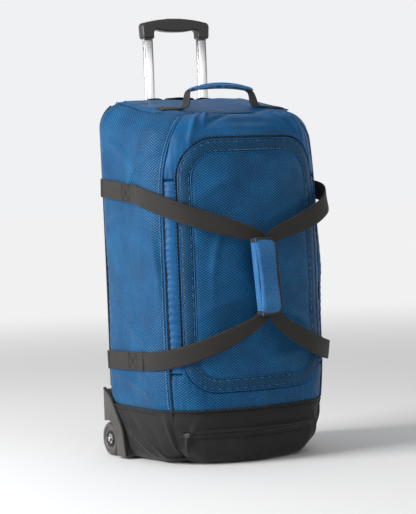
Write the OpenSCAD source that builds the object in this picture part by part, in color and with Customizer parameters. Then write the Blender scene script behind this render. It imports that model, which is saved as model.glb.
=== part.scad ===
// Rolling duffel bag, standing upright on its base and its two wheels.
// Millimetres. The origin is the middle of the resting face, +Z is up,
// the lid faces -Y, and the wheels and the pull-up handle are at +Y.

/* [Bag] */
// Width across the two sides
bag_w = 400; // [390:2:410]
// How far the middle of the front stands ahead of the origin
front_y = 175; // [170:1:180]
// How far the back stands behind the origin
back_y = 165; // [163:1:168]
// Height of the top at its back edge
back_h = 760; // [740:5:780]
// Slope of the top, falling towards the front, in degrees
top_slope = 10.5; // [8:0.5:12]
// Radius of the two front corners, seen from above
front_r = 110; // [100:1:115]
// Radius of the two back corners, seen from above
back_r = 40; // [30:1:50]
// Thickness of the padded fabric walls
wall = 3; // [2.5:0.5:4]
// Height of the black base
base_h = 113; // [105:1:120]

/* [Lid] */
// Height of the stitched line that the lid folds on
lid_bottom = 150; // [148:1:160]
// Height of the zip across the top of the lid
lid_top = 660; // [640:5:665]
// Half the width of the lid
lid_half = 156.5; // [155:0.5:157]
// Radius of the lid's corners
lid_r = 80; // [70:1:90]
// Width of the darker border inside the zip
border_w = 28; // [22:1:32]

/* [Wheels] */
// Diameter of the wheels
wheel_d = 72; // [68:1:74]
// Width of the tyres
wheel_w = 24; // [22:1:24]
// Distance of the axles behind the origin
wheel_y = 145; // [143:1:147]
// Radius of the axle
axle_r = 3.95; // [3.92:0.01:3.97]

/* [Pull-up handle] */
// Half the distance between the two tubes
tube_x = 65; // [60:1:70]
// Distance of the tubes behind the origin
tube_y = 150; // [149:0.5:151]
// Width and depth of the sliding tubes
tube_w = 23; // [18:1:24]
tube_d = 12; // [11:1:12]
// Height of the lower ends of the grip's legs
grip_z = 888; // [880:2:900]
// How far the handle still pulls out
pull_up = 225; // [200:5:240]

/* [Straps] */
// Width of the haul straps
strap_w = 39; // [36:1:42]
// Heights of the upper and lower strap anchors
upper_z = 563; // [550:1:575]
lower_z = 211; // [200:1:222]
// Height and width of the fabric wrap that joins the straps
wrap_h = 152; // [140:2:160]
wrap_w = 50; // [46:1:60]

/* [Hidden] */

blue = [0.13, 0.31, 0.50];
deep_blue = [0.06, 0.20, 0.36];
base_black = [0.10, 0.10, 0.11];
web_grey = [0.19, 0.18, 0.17];
far = 500;                      // longer than the bag in any direction from its middle
fit = 0.5;                      // clearance between the lid and what surrounds it
half_w = bag_w / 2;
corner_x = half_w - front_r;    // centre of a front corner's round, from the middle
corner_y = -50;
back_cx = half_w - back_r;
back_cy = back_y - back_r;
// The gently crowned front meets the two front corners smoothly.
front_reach = front_y + corner_y;
crown_r = (corner_x * corner_x / (front_reach - front_r) + front_reach + front_r) / 2;
crown_y = crown_r - front_y;
crown_a = atan2(corner_x, crown_y - corner_y);
seam_a = 55;                    // where the side panels start, round the front corner
zip_a = 39;                     // where the lid's zip runs, round the front corner
top_edge_y = -103;              // front edge of the top panel
top_edge_x = 122;
top_side_x = 160;
top_side_y = -50;
back_seam_y = 140;              // where the back panel meets the side panels
gusset_low = 190;
gusset_high = 650;
well_x = 158;                   // the wheel housings fill the back corners past this
well_y = 57;
well_h = 136;
wheel_x = 185;
screw_spots = [[wheel_y - 24, 92], [wheel_y + 12, 122]];
wheel_r = wheel_d / 2;
hub_r = 27;
bearing_r = 11;
bearing_w = 7;
housing_in = 160;
housing_out = 200.5;
tube_wall = 1;
tube_gap = 0.6;                 // between a sliding tube and its outer tube
outer_wall = 1.2;
outer_low = 40;
outer_high = 751;
tube_held = 110;                // overlap left when the handle is fully out
inner_low = outer_high - pull_up - tube_held;
socket = 17;                    // how deep the tubes sit in the grip
rod_r = 2.5;
bezel_half = 95;
bezel_y = 13;
bezel_low = 751.5;
grip_depth = 26;
button_half = 18;
crown_z = grip_z + 44;          // highest point of the grip
push_low = grip_z + 21;         // floor of the space inside the grip
bar_z = grip_z + 26;            // underside of the bar that the button pushes
web_t = 2.2;                    // thickness of all webbing
strap_y = -216;                 // where the straps hang ahead of the lid
hang_x = 5;
wrap_z = 381;
wrap_low = wrap_z - wrap_h / 2;
handle_y = -47;
handle_rise = 46;
slider_z = 240;
pocket_z = 67;
pocket_tall = 14;
pocket_y = 160;                 // centre of the curve that the pocket's zip follows
pocket_r = norm([corner_x, pocket_y - corner_y]) + front_r + 1.5;
pocket_a = 28.6;                // the zip's end, either side of straight ahead
pipe_r = 1.8;
pipe_off = 2.1;

// --- small helpers ------------------------------------------------------

function unit(v) = v / norm(v);

// Points round a centre c, from angle a to angle b.
function arc(c, r, a, b, n) =
    [for (i = [0:n]) c + r * [cos(a + (b - a) * i / n), sin(a + (b - a) * i / n)]];

// Normal on the right-hand side of the edge from p to q.
function outward(p, q) = unit([q[1] - p[1], p[0] - q[0]]);

// A closed outline, given anticlockwise, moved inwards by t.
function inset(pts, t) = [
    for (i = [0:len(pts) - 1])
    let(
        k = len(pts),
        before = outward(pts[(i + k - 1) % k], pts[i]),
        after = outward(pts[i], pts[(i + 1) % k])
    )
    pts[i] - t * (before + after) / (1 + before * after)
];

// One rounded corner at v, between its neighbours p and q.
function corner(p, v, q, r, n) =
    let(
        a = unit(p - v),
        b = unit(q - v),
        half = acos(a * b) / 2,
        c = v + unit(a + b) * r / sin(half),
        start = v + a * r / tan(half) - c,
        end = v + b * r / tan(half) - c,
        from = atan2(start[1], start[0]),
        turn = atan2(end[1], end[0]) - from,
        short = turn > 180 ? turn - 360 : turn < -180 ? turn + 360 : turn
    )
    arc(c, r, from, from + short, n);

// An outline with each corner rounded by its own radius.
function rounded(pts, radii, n = 6) = [
    for (i = [0:len(pts) - 1])
    let(k = len(pts), p = pts[(i + k - 1) % k], v = pts[i], q = pts[(i + 1) % k])
    each radii[i] > 0 ? corner(p, v, q, radii[i], n) : [v]
];

function bezier(p, t) =
    pow(1 - t, 3) * p[0] + 3 * t * pow(1 - t, 2) * p[1]
        + 3 * t * t * (1 - t) * p[2] + pow(t, 3) * p[3];

function flip(pts, side) = [for (p = pts) [p[0] * side, p[1], p[2]]];

function tangent(path, i) =
    unit(path[min(i + 1, len(path) - 1)] - path[max(i - 1, 0)]);

// Height of the top panel at a distance y behind the origin.
function roof(y) = back_h + (y - 150) * tan(top_slope);

// Half-width of the bag at height z: the base tapers in a little.
function half_at(z) = z < 170 ? half_w - 14 * (170 - z) / 170 : half_w;

module along_x(x0, x1) {
    translate([x0, 0, 0]) rotate([90, 0, 90]) linear_extrude(x1 - x0) children();
}

module along_y(y0, y1) {
    translate([0, y1, 0]) rotate([90, 0, 0]) linear_extrude(y1 - y0) children();
}

module box(low, high) {
    translate(low) cube(high - low);
}

// Copies a right-hand part to the side asked for: 1 is +X and -1 is -X.
module on_side(side) {
    if (side > 0) children();
    else mirror([1, 0, 0]) children();
}

// A flat strap along a path, with its face towards the direction facing gives.
module ribbon(path, facing, width, thick) {
    rings = [
        for (i = [0:len(path) - 1])
        let(
            t = tangent(path, i),
            w = unit(cross(facing[i], t)) * width / 2,
            n = unit(cross(t, w)) * thick / 2
        )
        each [path[i] + w + n, path[i] - w + n, path[i] - w - n, path[i] + w - n]
    ];
    tube_of(rings, 4, len(path));
}

// A round cord along a path.
module cord(path, up, r, sides = 8) {
    rings = [
        for (i = [0:len(path) - 1])
        let(t = tangent(path, i), a = unit(cross(up, t)), b = cross(t, a))
        for (k = [0:sides - 1]) path[i] + r * (a * cos(360 * k / sides) + b * sin(360 * k / sides))
    ];
    tube_of(rings, sides, len(path));
}

module tube_of(points, sides, count) {
    skin = [
        for (i = [0:count - 2]) for (k = [0:sides - 1])
        let(a = i * sides + k, b = i * sides + (k + 1) % sides)
        each [[a, b, a + sides], [b, b + sides, a + sides]]
    ];
    first = [for (k = [0:sides - 1]) sides - 1 - k];
    last = [for (k = [0:sides - 1]) (count - 1) * sides + k];
    polyhedron(points = points, faces = concat([first], skin, [last]), convexity = 6);
}

// --- the bag's outer form -----------------------------------------------

// Outline seen from above, moved inwards by t.
module plan(t) {
    polygon(concat(
        arc([0, crown_y], crown_r - t, -90 - crown_a, -90 + crown_a, 8),
        [for (p = arc([corner_x, corner_y], front_r - t, -90 + crown_a, 0, 8)) p],
        arc([back_cx, back_cy], back_r - t, 0, 90, 5),
        arc([-back_cx, back_cy], back_r - t, 90, 180, 5),
        arc([-corner_x, corner_y], front_r - t, 180, 270 - crown_a, 8)
    ));
}

// Outline seen from the side.
module profile(t) {
    slope_low = roof(-front_y);
    pts = inset([[-front_y, 0], [back_y, 0], [back_y, roof(back_y)], [-front_y, slope_low]], t);
    polygon(rounded(pts, [45 - t, 20 - t, 22 - t, 55 - t]));
}

// Outline seen from the front, without its top.
module front_view(t) {
    pts = inset([
        [-half_at(0), 0], [half_at(0), 0], [half_w, 170], [half_w, 900], [-half_w, 900], [-half_w, 170]
    ], t);
    polygon(rounded(pts, [30 - t, 30 - t, 0, 0, 0, 0]));
}

// The rounded roof, which follows the slope of the top.
module roof_prism(t) {
    top = [[-half_w, -900], [half_w, -900], [half_w, 0], [-half_w, 0]];
    translate([0, 150, back_h]) rotate([top_slope, 0, 0])
        along_y(-far, far) polygon(rounded(inset(top, t), [0, 0, 46 - t, 46 - t]));
}

module form(t) {
    intersection() {
        linear_extrude(900) plan(t);
        along_x(-far, far) profile(t);
        along_y(-far, far) front_view(t);
        roof_prism(t);
    }
}

module shell() {
    difference() {
        form(0);
        form(wall);
    }
}

// A wedge of the plan round one front corner, between two angles from straight ahead.
module wedge(a, b) {
    c = [corner_x, corner_y];
    linear_extrude(900)
        polygon([c, c + far * [sin(a), -cos(a)], c + far * [sin(b), -cos(b)]]);
}

// Everything ahead of the seams at angle a, between two heights.
module front_zone(a, low, high) {
    c = [corner_x, corner_y];
    reach = c + far * [sin(a), -cos(a)];
    translate([0, 0, low]) linear_extrude(high - low)
        polygon([[-c[0], c[1]], [-reach[0], reach[1]], reach, c]);
}

// Everything behind the seam between the front and the side panels.
module side_zone() {
    c = [corner_x, corner_y];
    inner = c + (front_r - 14) * [sin(seam_a), -cos(seam_a)];
    reach = c + far * [sin(seam_a), -cos(seam_a)];
    linear_extrude(900) polygon([
        [0, back_seam_y], [0, corner_y], [top_edge_x, top_edge_y], inner, reach,
        [far, -far], [far, back_seam_y]
    ]);
}

module top_zone() {
    translate([0, 0, lid_top]) linear_extrude(200) polygon([
        [-top_edge_x, top_edge_y], [top_edge_x, top_edge_y], [top_side_x, top_side_y],
        [top_side_x, back_seam_y], [-top_side_x, back_seam_y], [-top_side_x, top_side_y]
    ]);
}

// Outline of a wheel housing seen from the side, grown by g.
module housing_outline(g) {
    shape = [
        [well_y + 2, 4], [back_y + 3, 4], [back_y + 2, well_h + 10],
        [wheel_y - 20, well_h - 10], [well_y + 16, 62]
    ];
    polygon(rounded(inset(shape, -g), [6, 4, 6, 40, 60], 8));
}

// The room taken by a wheel housing and its wheel.
module well() {
    along_x(well_x, far) housing_outline(fit);
    translate([well_x, wheel_y, wheel_r]) rotate([0, 90, 0]) cylinder(h = 100, r = wheel_r + 5, $fn = 96);
}

module wells() {
    well();
    mirror([1, 0, 0]) well();
}

module lid_outline(grow) {
    low = lid_bottom + fit - grow;
    high = lid_top + grow;
    half = lid_half + grow;
    polygon(rounded(
        [[-half, low], [half, low], [half, high], [-half, high]],
        [lid_r - 10 + grow, lid_r - 10 + grow, lid_r + grow, lid_r + grow]
    ));
}

// --- soft shell panels --------------------------------------------------

module side_panel(side) {
    color(blue) on_side(side) difference() {
        intersection() {
            shell();
            side_zone();
            box([0, -far, base_h], [far, far, 900]);
        }
        top_zone();
        well();
    }
}

module gusset(side) {
    color(blue) on_side(side) intersection() {
        shell();
        wedge(zip_a, seam_a);
        box([0, -far, gusset_low], [far, far, gusset_high]);
    }
}

module back_panel() {
    color(base_black) difference() {
        intersection() {
            shell();
            box([-far, back_seam_y, base_h], [far, far, 900]);
        }
        wells();
        bezel_room();
    }
}

module top_panel() {
    color(blue) difference() {
        intersection() {
            shell();
            top_zone();
        }
        bezel_room();
    }
}

module upper_front_panel() {
    color(blue) intersection() {
        shell();
        difference() {
            union() {
                front_zone(seam_a, gusset_high, 900);
                front_zone(zip_a, lid_top - lid_r, gusset_high);
            }
            top_zone();
            mirror([1, 0, 0]) side_zone();
            side_zone();
            along_y(-far, 0) lid_outline(fit);
        }
    }
}

module lower_front_band() {
    color(blue) intersection() {
        shell();
        difference() {
            union() {
                front_zone(seam_a, base_h, gusset_low);
                front_zone(zip_a, base_h, lid_bottom + lid_r);
            }
            along_y(-far, 0) lid_outline(fit);
        }
    }
}

module base_shell() {
    color(base_black) difference() {
        intersection() {
            shell();
            box([-far, -far, 0], [far, far, base_h]);
        }
        wells();
    }
}

module lid_ring(outer, inner) {
    intersection() {
        shell();
        along_y(-far, corner_y) difference() {
            lid_outline(outer);
            lid_outline(inner);
        }
    }
}

module lid_centre() {
    color(blue) intersection() {
        shell();
        along_y(-far, corner_y) lid_outline(-border_w);
    }
}

module lid_border() {
    color(deep_blue) lid_ring(0, -border_w);
}

// A raised bead round the lid's middle panel.
module lid_piping() {
    color(blue) intersection() {
        difference() {
            form(-1.2);
            form(-0.05);
        }
        along_y(-far, corner_y) difference() {
            lid_outline(-border_w);
            lid_outline(-border_w - 2);
        }
    }
}

module frame_sheet() {
    color("gray") box([-150, 134.5, 20], [150, 138, 730]);
}

module base_board() {
    color("gray") translate([0, 0, 3.2]) linear_extrude(4) intersection() {
        plan(47);
        translate([-150, -far]) square([300, far + 128]);
    }
}

// --- piping and zips ----------------------------------------------------

// A point on the seam ahead of a side panel, off the surface by out.
function seam_point(z, out) =
    let(r = front_r + out)
    [corner_x + r * sin(seam_a), corner_y - r * cos(seam_a), z];

module seam_piping(side) {
    path = [for (z = [base_h + 3 : 18 : 672]) seam_point(z, pipe_off)];
    color(deep_blue) cord(flip(path, side), [0, 1, 0], pipe_r);
}

module back_piping(side) {
    path = [for (z = [well_h + 8 : 40 : back_h - 60]) [side * (half_w + pipe_off - 4.6), back_seam_y + 6, z]];
    color(base_black) cord(path, [0, 1, 0], pipe_r);
}

// The zip's teeth and tape, up one side of the lid, over the top and down.
module main_zip() {
    color("tan") intersection() {
        difference() {
            form(-1.4);
            form(-0.1);
        }
        along_y(-far, corner_y) difference() {
            lid_outline(4.5);
            lid_outline(fit + 0.2);
            translate([-far, 0]) square([2 * far, lid_bottom + lid_r]);
        }
    }
}

// The pocket's zip sits on a padded welt whose face is one even curve.
module pocket_zip() {
    color("dimgray") difference() {
        translate([0, 0, pocket_z - pocket_tall / 2]) linear_extrude(pocket_tall) intersection() {
            translate([0, pocket_y]) circle(r = pocket_r, $fn = 180);
            translate([0, pocket_y]) polygon([
                [0, 0],
                far * [-sin(pocket_a + 2), -cos(pocket_a + 2)],
                far * [sin(pocket_a + 2), -cos(pocket_a + 2)]
            ]);
        }
        form(-0.1);
    }
}

// A zip slider, lying with its face towards +X and its length along Z, or along Y if turned.
module slider_body(turned) {
    rotate([turned ? 90 : 0, 0, 0]) along_y(-4.5, 4.5)
        polygon(rounded([[0, -7], [3.4, -7], [3.4, 7], [0, 7]], [0.8, 1.4, 1.4, 0.8], 3));
    difference() {
        along_y(-1.5, 1.5) polygon(rounded([[3.3, -6], [6.8, -5], [6.8, 3], [3.3, 4]], [0, 1.6, 1.6, 0], 3));
        translate([5, 0, -2]) rotate([90, 0, 0]) cylinder(h = 8, r = 1.05, center = true, $fn = 24);
    }
}

// A pull that hangs from a slider's loop, with a cord end that a finger holds.
module pull_tab(length) {
    translate([5, 0, -2]) rotate([90, 0, 0]) cylinder(h = 6.4, r = 1, center = true, $fn = 24);
    difference() {
        along_x(4.2, 5.8)
            polygon(rounded([[-3.2, -length], [3.2, -length], [3.2, -1], [-3.2, -1]], [2, 2, 1, 1], 3));
        box([3, -1.9, -7.4], [7, 1.9, 3]);
    }
}

module at_pocket() {
    translate([0, pocket_y, pocket_z]) rotate([0, 0, -90 - pocket_a]) translate([pocket_r + 0.4, 0, 0])
        children();
}

module at_main() {
    translate([corner_x, corner_y, slider_z]) rotate([0, 0, -90 + zip_a + 2]) translate([front_r + 1.8, 0, 0])
        children();
}

// --- wheels -------------------------------------------------------------

module wheel_housing(side) {
    color([0.33, 0.31, 0.30]) on_side(side) difference() {
        along_x(housing_in, housing_out) housing_outline(0);
        translate([172, wheel_y, wheel_r]) rotate([0, 90, 0]) cylinder(h = 60, r = wheel_r + 5, $fn = 96);
        box([172, wheel_y, -1], [far, far, wheel_r]);
        translate([150, wheel_y, wheel_r]) rotate([0, 90, 0]) cylinder(h = 60, r = axle_r, $fn = 48);
        for (p = screw_spots)
            translate([housing_in - 1, p[0], p[1]]) rotate([0, 90, 0]) cylinder(h = 6, r = 1.5, $fn = 24);
    }
}

module housing_screws() {
    color("silver") for (side = [-1, 1]) on_side(side)
        for (p = screw_spots) translate([housing_in - 2, p[0], p[1]]) rotate([0, 90, 0]) {
            cylinder(h = 6.5, r = 1.5, $fn = 24);
            cylinder(h = 2, r = 3.2, $fn = 24);
        }
}

module axle(side) {
    length = wheel_x + wheel_w / 2 + 1 - housing_in;
    color("silver") on_side(side) translate([housing_in, wheel_y, wheel_r]) rotate([0, 90, 0]) {
        cylinder(h = length, r = axle_r, $fn = 48);
        translate([0, 0, length - 0.6]) cylinder(h = 2.4, r = 6.2, $fn = 48);
    }
}

module about_wheel(side) {
    on_side(side) translate([wheel_x, wheel_y, wheel_r]) rotate([0, 90, 0]) children();
}

module wheel_tyre(side) {
    color(base_black) about_wheel(side) rotate_extrude($fn = 96) intersection() {
        translate([hub_r, -wheel_w / 2]) square([wheel_r - hub_r, wheel_w]);
        translate([wheel_r - 16, 0]) circle(r = 16, $fn = 64);
    }
}

module wheel_hub(side) {
    color("dimgray") about_wheel(side) difference() {
        cylinder(h = wheel_w - 1, r = hub_r, center = true, $fn = 96);
        cylinder(h = wheel_w + 1, r = axle_r + 3, center = true, $fn = 48);
        for (s = [-1, 1]) translate([0, 0, s * (wheel_w / 2 - bearing_w / 2)])
            cylinder(h = bearing_w + 0.02, r = bearing_r, center = true, $fn = 64);
    }
}

module wheel_bearings(side) {
    color("silver") about_wheel(side) for (s = [-1, 1])
        translate([0, 0, s * (wheel_w / 2 - bearing_w / 2 - 0.5)]) difference() {
            cylinder(h = bearing_w - 1, r = bearing_r, center = true, $fn = 64);
            cylinder(h = bearing_w, r = 4, center = true, $fn = 48);
        }
}

// --- pull-up handle -----------------------------------------------------

module bezel_room() {
    box([-bezel_half - fit, tube_y - bezel_y - fit, outer_high - 14],
        [bezel_half + fit, tube_y + bezel_y + fit, 900]);
}

module at_tubes() {
    for (side = [-1, 1]) translate([side * tube_x, tube_y, 0]) children();
}

module tube_section(w, d) {
    polygon(rounded([[-w / 2, -d / 2], [w / 2, -d / 2], [w / 2, d / 2], [-w / 2, d / 2]], [3, 3, 3, 3], 4));
}

module trolley_bezel() {
    plate = [[-bezel_half, -bezel_y], [bezel_half, -bezel_y], [bezel_half, bezel_y], [-bezel_half, bezel_y]];
    color(base_black) difference() {
        translate([0, tube_y, bezel_low]) linear_extrude(11) polygon(rounded(plate, [6, 6, 6, 6], 4));
        at_tubes() linear_extrude(900) tube_section(tube_w + 0.8, tube_d + 0.8);
    }
}

module outer_tube(side) {
    w = tube_w + 2 * tube_gap;
    d = tube_d + 2 * tube_gap;
    color("silver") translate([side * tube_x, tube_y, outer_low])
        linear_extrude(outer_high - outer_low) difference() {
            tube_section(w + 2 * outer_wall, d + 2 * outer_wall);
            tube_section(w, d);
        }
}

module tube_foot_bracket() {
    color(base_black) difference() {
        box([-90, 139, 24], [90, 161.5, outer_low]);
        for (x = [-40, 40]) translate([x, 130, 32]) rotate([-90, 0, 0]) cylinder(h = 40, r = 2, $fn = 32);
    }
}

module bracket_screws() {
    color("silver") for (x = [-40, 40]) translate([x, 138.2, 32]) rotate([-90, 0, 0]) {
        translate([0, 0, 0.8]) cylinder(h = 20, r = 2, $fn = 32);
        translate([0, 0, 0.2]) cylinder(h = 0.6, r = 4, $fn = 32);
    }
}

module inner_tube(side) {
    color("gainsboro") translate([side * tube_x, tube_y, inner_low]) difference() {
        linear_extrude(grip_z + socket - inner_low) difference() {
            tube_section(tube_w, tube_d);
            tube_section(tube_w - 2 * tube_wall, tube_d - 2 * tube_wall);
        }
        translate([0, 0, 12]) rotate([90, 0, 0]) cylinder(h = 20, r = 3.1, $fn = 32);
    }
}

// Outline of the grip seen from the front: two legs and a bar that is fuller in its middle.
module grip_outline() {
    leg_in = 53;
    leg_out = 81;
    end_top = crown_z - 8;
    bar_low = crown_z - 27;
    right = concat(
        arc([leg_out - 9, end_top - 10], 10, 0, 80, 5),
        [[45, end_top + 4.5], [22, crown_z - 0.6], [0, crown_z]]
    );
    under = concat(
        [[0, bar_low - 2], [25, bar_low - 1], [42, bar_low + 2.5]],
        arc([leg_in - 6, bar_low - 2.6], 6, 90, 0, 4)
    );
    edge = concat(under, [[leg_in, grip_z], [leg_out - 2, grip_z]], right);
    polygon(concat(edge, [for (i = [len(edge) - 2:-1:1]) [-edge[i][0], edge[i][1]]]));
}

module grip() {
    color([0.12, 0.12, 0.12]) difference() {
        along_y(tube_y - grip_depth / 2, tube_y + grip_depth / 2) grip_outline();
        at_tubes() translate([0, 0, grip_z - 1]) linear_extrude(socket + 1) tube_section(tube_w, tube_d);
        button_room();
        at_tubes() translate([0, 0, grip_z]) cylinder(h = 26, r = rod_r + 1, $fn = 32);
        box([-tube_x - 3.5, tube_y - 3.5, push_low], [tube_x + 3.5, tube_y + 3.5, push_low + 9.5]);
    }
}

module button_room() {
    box([-button_half - 0.5, tube_y - 6.5, push_low], [button_half + 0.5, tube_y + 6.5, push_low + 40]);
}

// The button and the bar that carries its push to the rods.
module release_button() {
    color([0.16, 0.16, 0.16]) {
        translate([-button_half, tube_y - 6, bar_z]) cube([2 * button_half, 12, crown_z + 1.5 - bar_z]);
        box([-tube_x - 3, tube_y - 3, bar_z], [tube_x + 3, tube_y + 3, bar_z + 3]);
    }
}

module push_rod(side) {
    color("silver") translate([side * tube_x, tube_y, inner_low + 22])
        cylinder(h = bar_z - inner_low - 22, r = rod_r, $fn = 32);
}

module lock_pin(side) {
    color("silver") translate([side * tube_x, tube_y, inner_low + 12]) rotate([90, 0, 0])
        translate([0, 0, -1]) cylinder(h = tube_d / 2 + 1.3, r = 3, $fn = 32);
}

// --- straps and handles -------------------------------------------------

// The stitched lengths lie flat on the side panels.
module strap_anchors(side) {
    color(web_grey) for (z = [upper_z, lower_z])
        box([min(side * (half_w + 0.1), side * (half_w + 0.1 + web_t)), corner_y + 6, z - strap_w / 2],
            [max(side * (half_w + 0.1), side * (half_w + 0.1 + web_t)), 124, z + strap_w / 2]);
}

// One haul strap: from the upper anchor to the front, down through the wrap and back.
// Out is how far it stands away from the side, and slack how loosely its lower run hangs.
function haul_path(out, slack, y) =
    let(
        x = half_w + 0.1 + web_t / 2,
        shoulder = corner_y - 70 - 0.9 * out,
        over = [[x, corner_y, upper_z], [x + out, shoulder, upper_z - 22],
                [120, y + 16, upper_z - 55], [hang_x, y, wrap_z + wrap_h / 2 + 14]],
        under = [[x, corner_y, lower_z], [x + out, shoulder, lower_z + 4],
                 [120, y + 16 - slack / 2, lower_z + 20 - slack], [hang_x, y, wrap_z - wrap_h / 2 - 14]]
    )
    concat(
        [for (i = [0:12]) bezier(over, i / 12)],
        [[hang_x, y, wrap_z + 40], [hang_x, y, wrap_z - 40]],
        [for (i = [12:-1:0]) bezier(under, i / 12)]
    );

module haul_strap(side, out, slack, y) {
    path = flip(haul_path(out, slack, y), side);
    facing = [for (p = path) unit([p[0] / pow(half_w, 2), (p[1] + 20) / pow(195, 2), 0])];
    color(web_grey) ribbon(path, facing, strap_w, web_t);
}

module wrap_back() {
    color(blue) {
        box([-wrap_w / 2, strap_y + 6.5, wrap_low], [wrap_w / 2 - 3, strap_y + 10.5, wrap_low + wrap_h]);
        box([-wrap_w / 2 - 3.4, strap_y - 8, wrap_low], [-wrap_w / 2, strap_y + 10.5, wrap_low + wrap_h]);
    }
}

module wrap_flap() {
    hinge_x = -wrap_w / 2 - 3;
    free_x = wrap_w / 2;
    outline = [[hinge_x, 0], [free_x, 0], [free_x, wrap_h], [hinge_x, wrap_h]];
    color(blue) along_y(strap_y - 12.6, strap_y - 8.6) translate([0, wrap_low])
        polygon(rounded(outline, [0, 14, 14, 0]));
}

module on_roof(y) {
    translate([0, y, roof(y)]) rotate([top_slope, 0, 0]) children();
}

module top_handle_anchors() {
    color(web_grey) on_roof(handle_y) for (side = [-1, 1]) on_side(side)
        box([100, -14, 0.2], [152, 14, 0.2 + web_t]);
}

function leg_path() =
    let(
        z = roof(handle_y) + 4.5,
        foot = [[99, handle_y, z], [66, handle_y, z - 2]],
        shoulder = [[92, handle_y, z + 36], [70, handle_y, z + handle_rise - 6]]
    )
    [for (i = [0:12]) bezier(concat(foot, shoulder), i / 12)];

module top_handle_legs() {
    color(web_grey) for (side = [-1, 1]) {
        path = flip(leg_path(), side);
        ribbon(path, [for (i = [0:12]) let(t = tangent(path, i)) cross([0, 1, 0], t)], 27, web_t);
    }
}

module top_handle_sleeve() {
    z = roof(handle_y) + 4.5 + handle_rise - 6;
    path = [for (i = [0:10]) let(x = -69 + 13.8 * i) [x, handle_y, z + 6 * (1 - pow(x / 69, 2))]];
    color(blue) ribbon(path, [for (p = path) [0, 0, 1]], 33, 8);
}

side_panel(-1);  // side_panel_left
side_panel(1);  // side_panel_right
gusset(-1);  // gusset_left
gusset(1);  // gusset_right
back_panel();
top_panel();
upper_front_panel();
lower_front_band();
base_shell();
lid_centre();
lid_border();
lid_piping();
main_zip();
color("dimgray") at_main() slider_body(false);  // main_zip_slider
color("black") at_main() pull_tab(30);  // main_zip_pull
pocket_zip();
color("dimgray") at_pocket() slider_body(true);  // pocket_zip_slider
color("black") at_pocket() pull_tab(34);  // pocket_zip_pull
seam_piping(-1);  // seam_piping_left
seam_piping(1);  // seam_piping_right
back_piping(-1);  // back_piping_left
back_piping(1);  // back_piping_right
frame_sheet();
base_board();
wheel_housing(-1);  // wheel_housing_left
wheel_housing(1);  // wheel_housing_right
housing_screws();
axle(-1);  // axle_left
axle(1);  // axle_right
wheel_tyre(-1);  // wheel_tyre_left
wheel_tyre(1);  // wheel_tyre_right
wheel_hub(-1);  // wheel_hub_left
wheel_hub(1);  // wheel_hub_right
wheel_bearings(-1);  // wheel_bearings_left
wheel_bearings(1);  // wheel_bearings_right
trolley_bezel();
outer_tube(-1);  // outer_tube_left
outer_tube(1);  // outer_tube_right
tube_foot_bracket();
bracket_screws();
inner_tube(-1);  // inner_tube_left
inner_tube(1);  // inner_tube_right
grip();
release_button();
push_rod(-1);  // push_rod_left
push_rod(1);  // push_rod_right
lock_pin(-1);  // lock_pin_left
lock_pin(1);  // lock_pin_right
strap_anchors(-1);  // strap_anchors_left
strap_anchors(1);  // strap_anchors_right
haul_strap(-1, 12, 0, strap_y + 2.4);  // haul_strap_left
haul_strap(1, 42, 26, strap_y - 2.4);  // haul_strap_right
wrap_back();
wrap_flap();
top_handle_anchors();
top_handle_legs();
top_handle_sleeve();
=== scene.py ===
import math
from functools import partial

import bmesh
import bpy
import numpy as np
from mathutils import Matrix, Vector, noise


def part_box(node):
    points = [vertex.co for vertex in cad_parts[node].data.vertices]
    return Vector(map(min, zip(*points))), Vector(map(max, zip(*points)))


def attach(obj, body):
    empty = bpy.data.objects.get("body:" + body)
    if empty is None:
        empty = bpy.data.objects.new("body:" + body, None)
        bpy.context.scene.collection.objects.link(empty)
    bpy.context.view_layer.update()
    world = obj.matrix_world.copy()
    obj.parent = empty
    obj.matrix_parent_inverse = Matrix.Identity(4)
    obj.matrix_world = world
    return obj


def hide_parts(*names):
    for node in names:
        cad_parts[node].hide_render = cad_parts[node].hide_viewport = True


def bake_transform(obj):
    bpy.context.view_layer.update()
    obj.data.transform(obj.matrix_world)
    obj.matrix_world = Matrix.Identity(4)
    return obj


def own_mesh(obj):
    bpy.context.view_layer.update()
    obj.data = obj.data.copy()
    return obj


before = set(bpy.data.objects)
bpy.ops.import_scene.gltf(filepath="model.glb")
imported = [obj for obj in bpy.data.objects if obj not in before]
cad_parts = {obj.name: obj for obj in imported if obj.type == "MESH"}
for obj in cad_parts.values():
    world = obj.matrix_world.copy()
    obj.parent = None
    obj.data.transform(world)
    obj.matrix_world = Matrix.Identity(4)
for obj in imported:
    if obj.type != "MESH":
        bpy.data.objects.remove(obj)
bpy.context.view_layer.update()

# --- sizes of the bag, from the frame -----------------------------------------------------------
HALF_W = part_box("side_panel_right")[1].x
FRONT = -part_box("lid_centre")[0].y
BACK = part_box("back_panel")[1].y
BASE_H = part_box("base_shell")[1].z
LID_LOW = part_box("lid_border")[0].z
LID_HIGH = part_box("lid_border")[1].z
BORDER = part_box("lid_centre")[0].z - LID_LOW

FRONT_R = 0.110                 # round of the front corners, seen from above
BACK_R = 0.062
CORNER = (HALF_W - FRONT_R, -0.050)
CROWN_REACH = FRONT + CORNER[1]
CROWN_R = (CORNER[0] ** 2 / (CROWN_REACH - FRONT_R) + CROWN_REACH + FRONT_R) / 2
CROWN_Y = CROWN_R - FRONT
CROWN_A = math.atan2(CORNER[0], CROWN_Y - CORNER[1])
ROOF_BACK = 0.760               # height of the roof plane at ROOF_Y
ROOF_Y = 0.150
ROOF_RISE = math.tan(math.radians(10.5))
ROOF_NORMAL = (0, -ROOF_RISE, 1)

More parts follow.
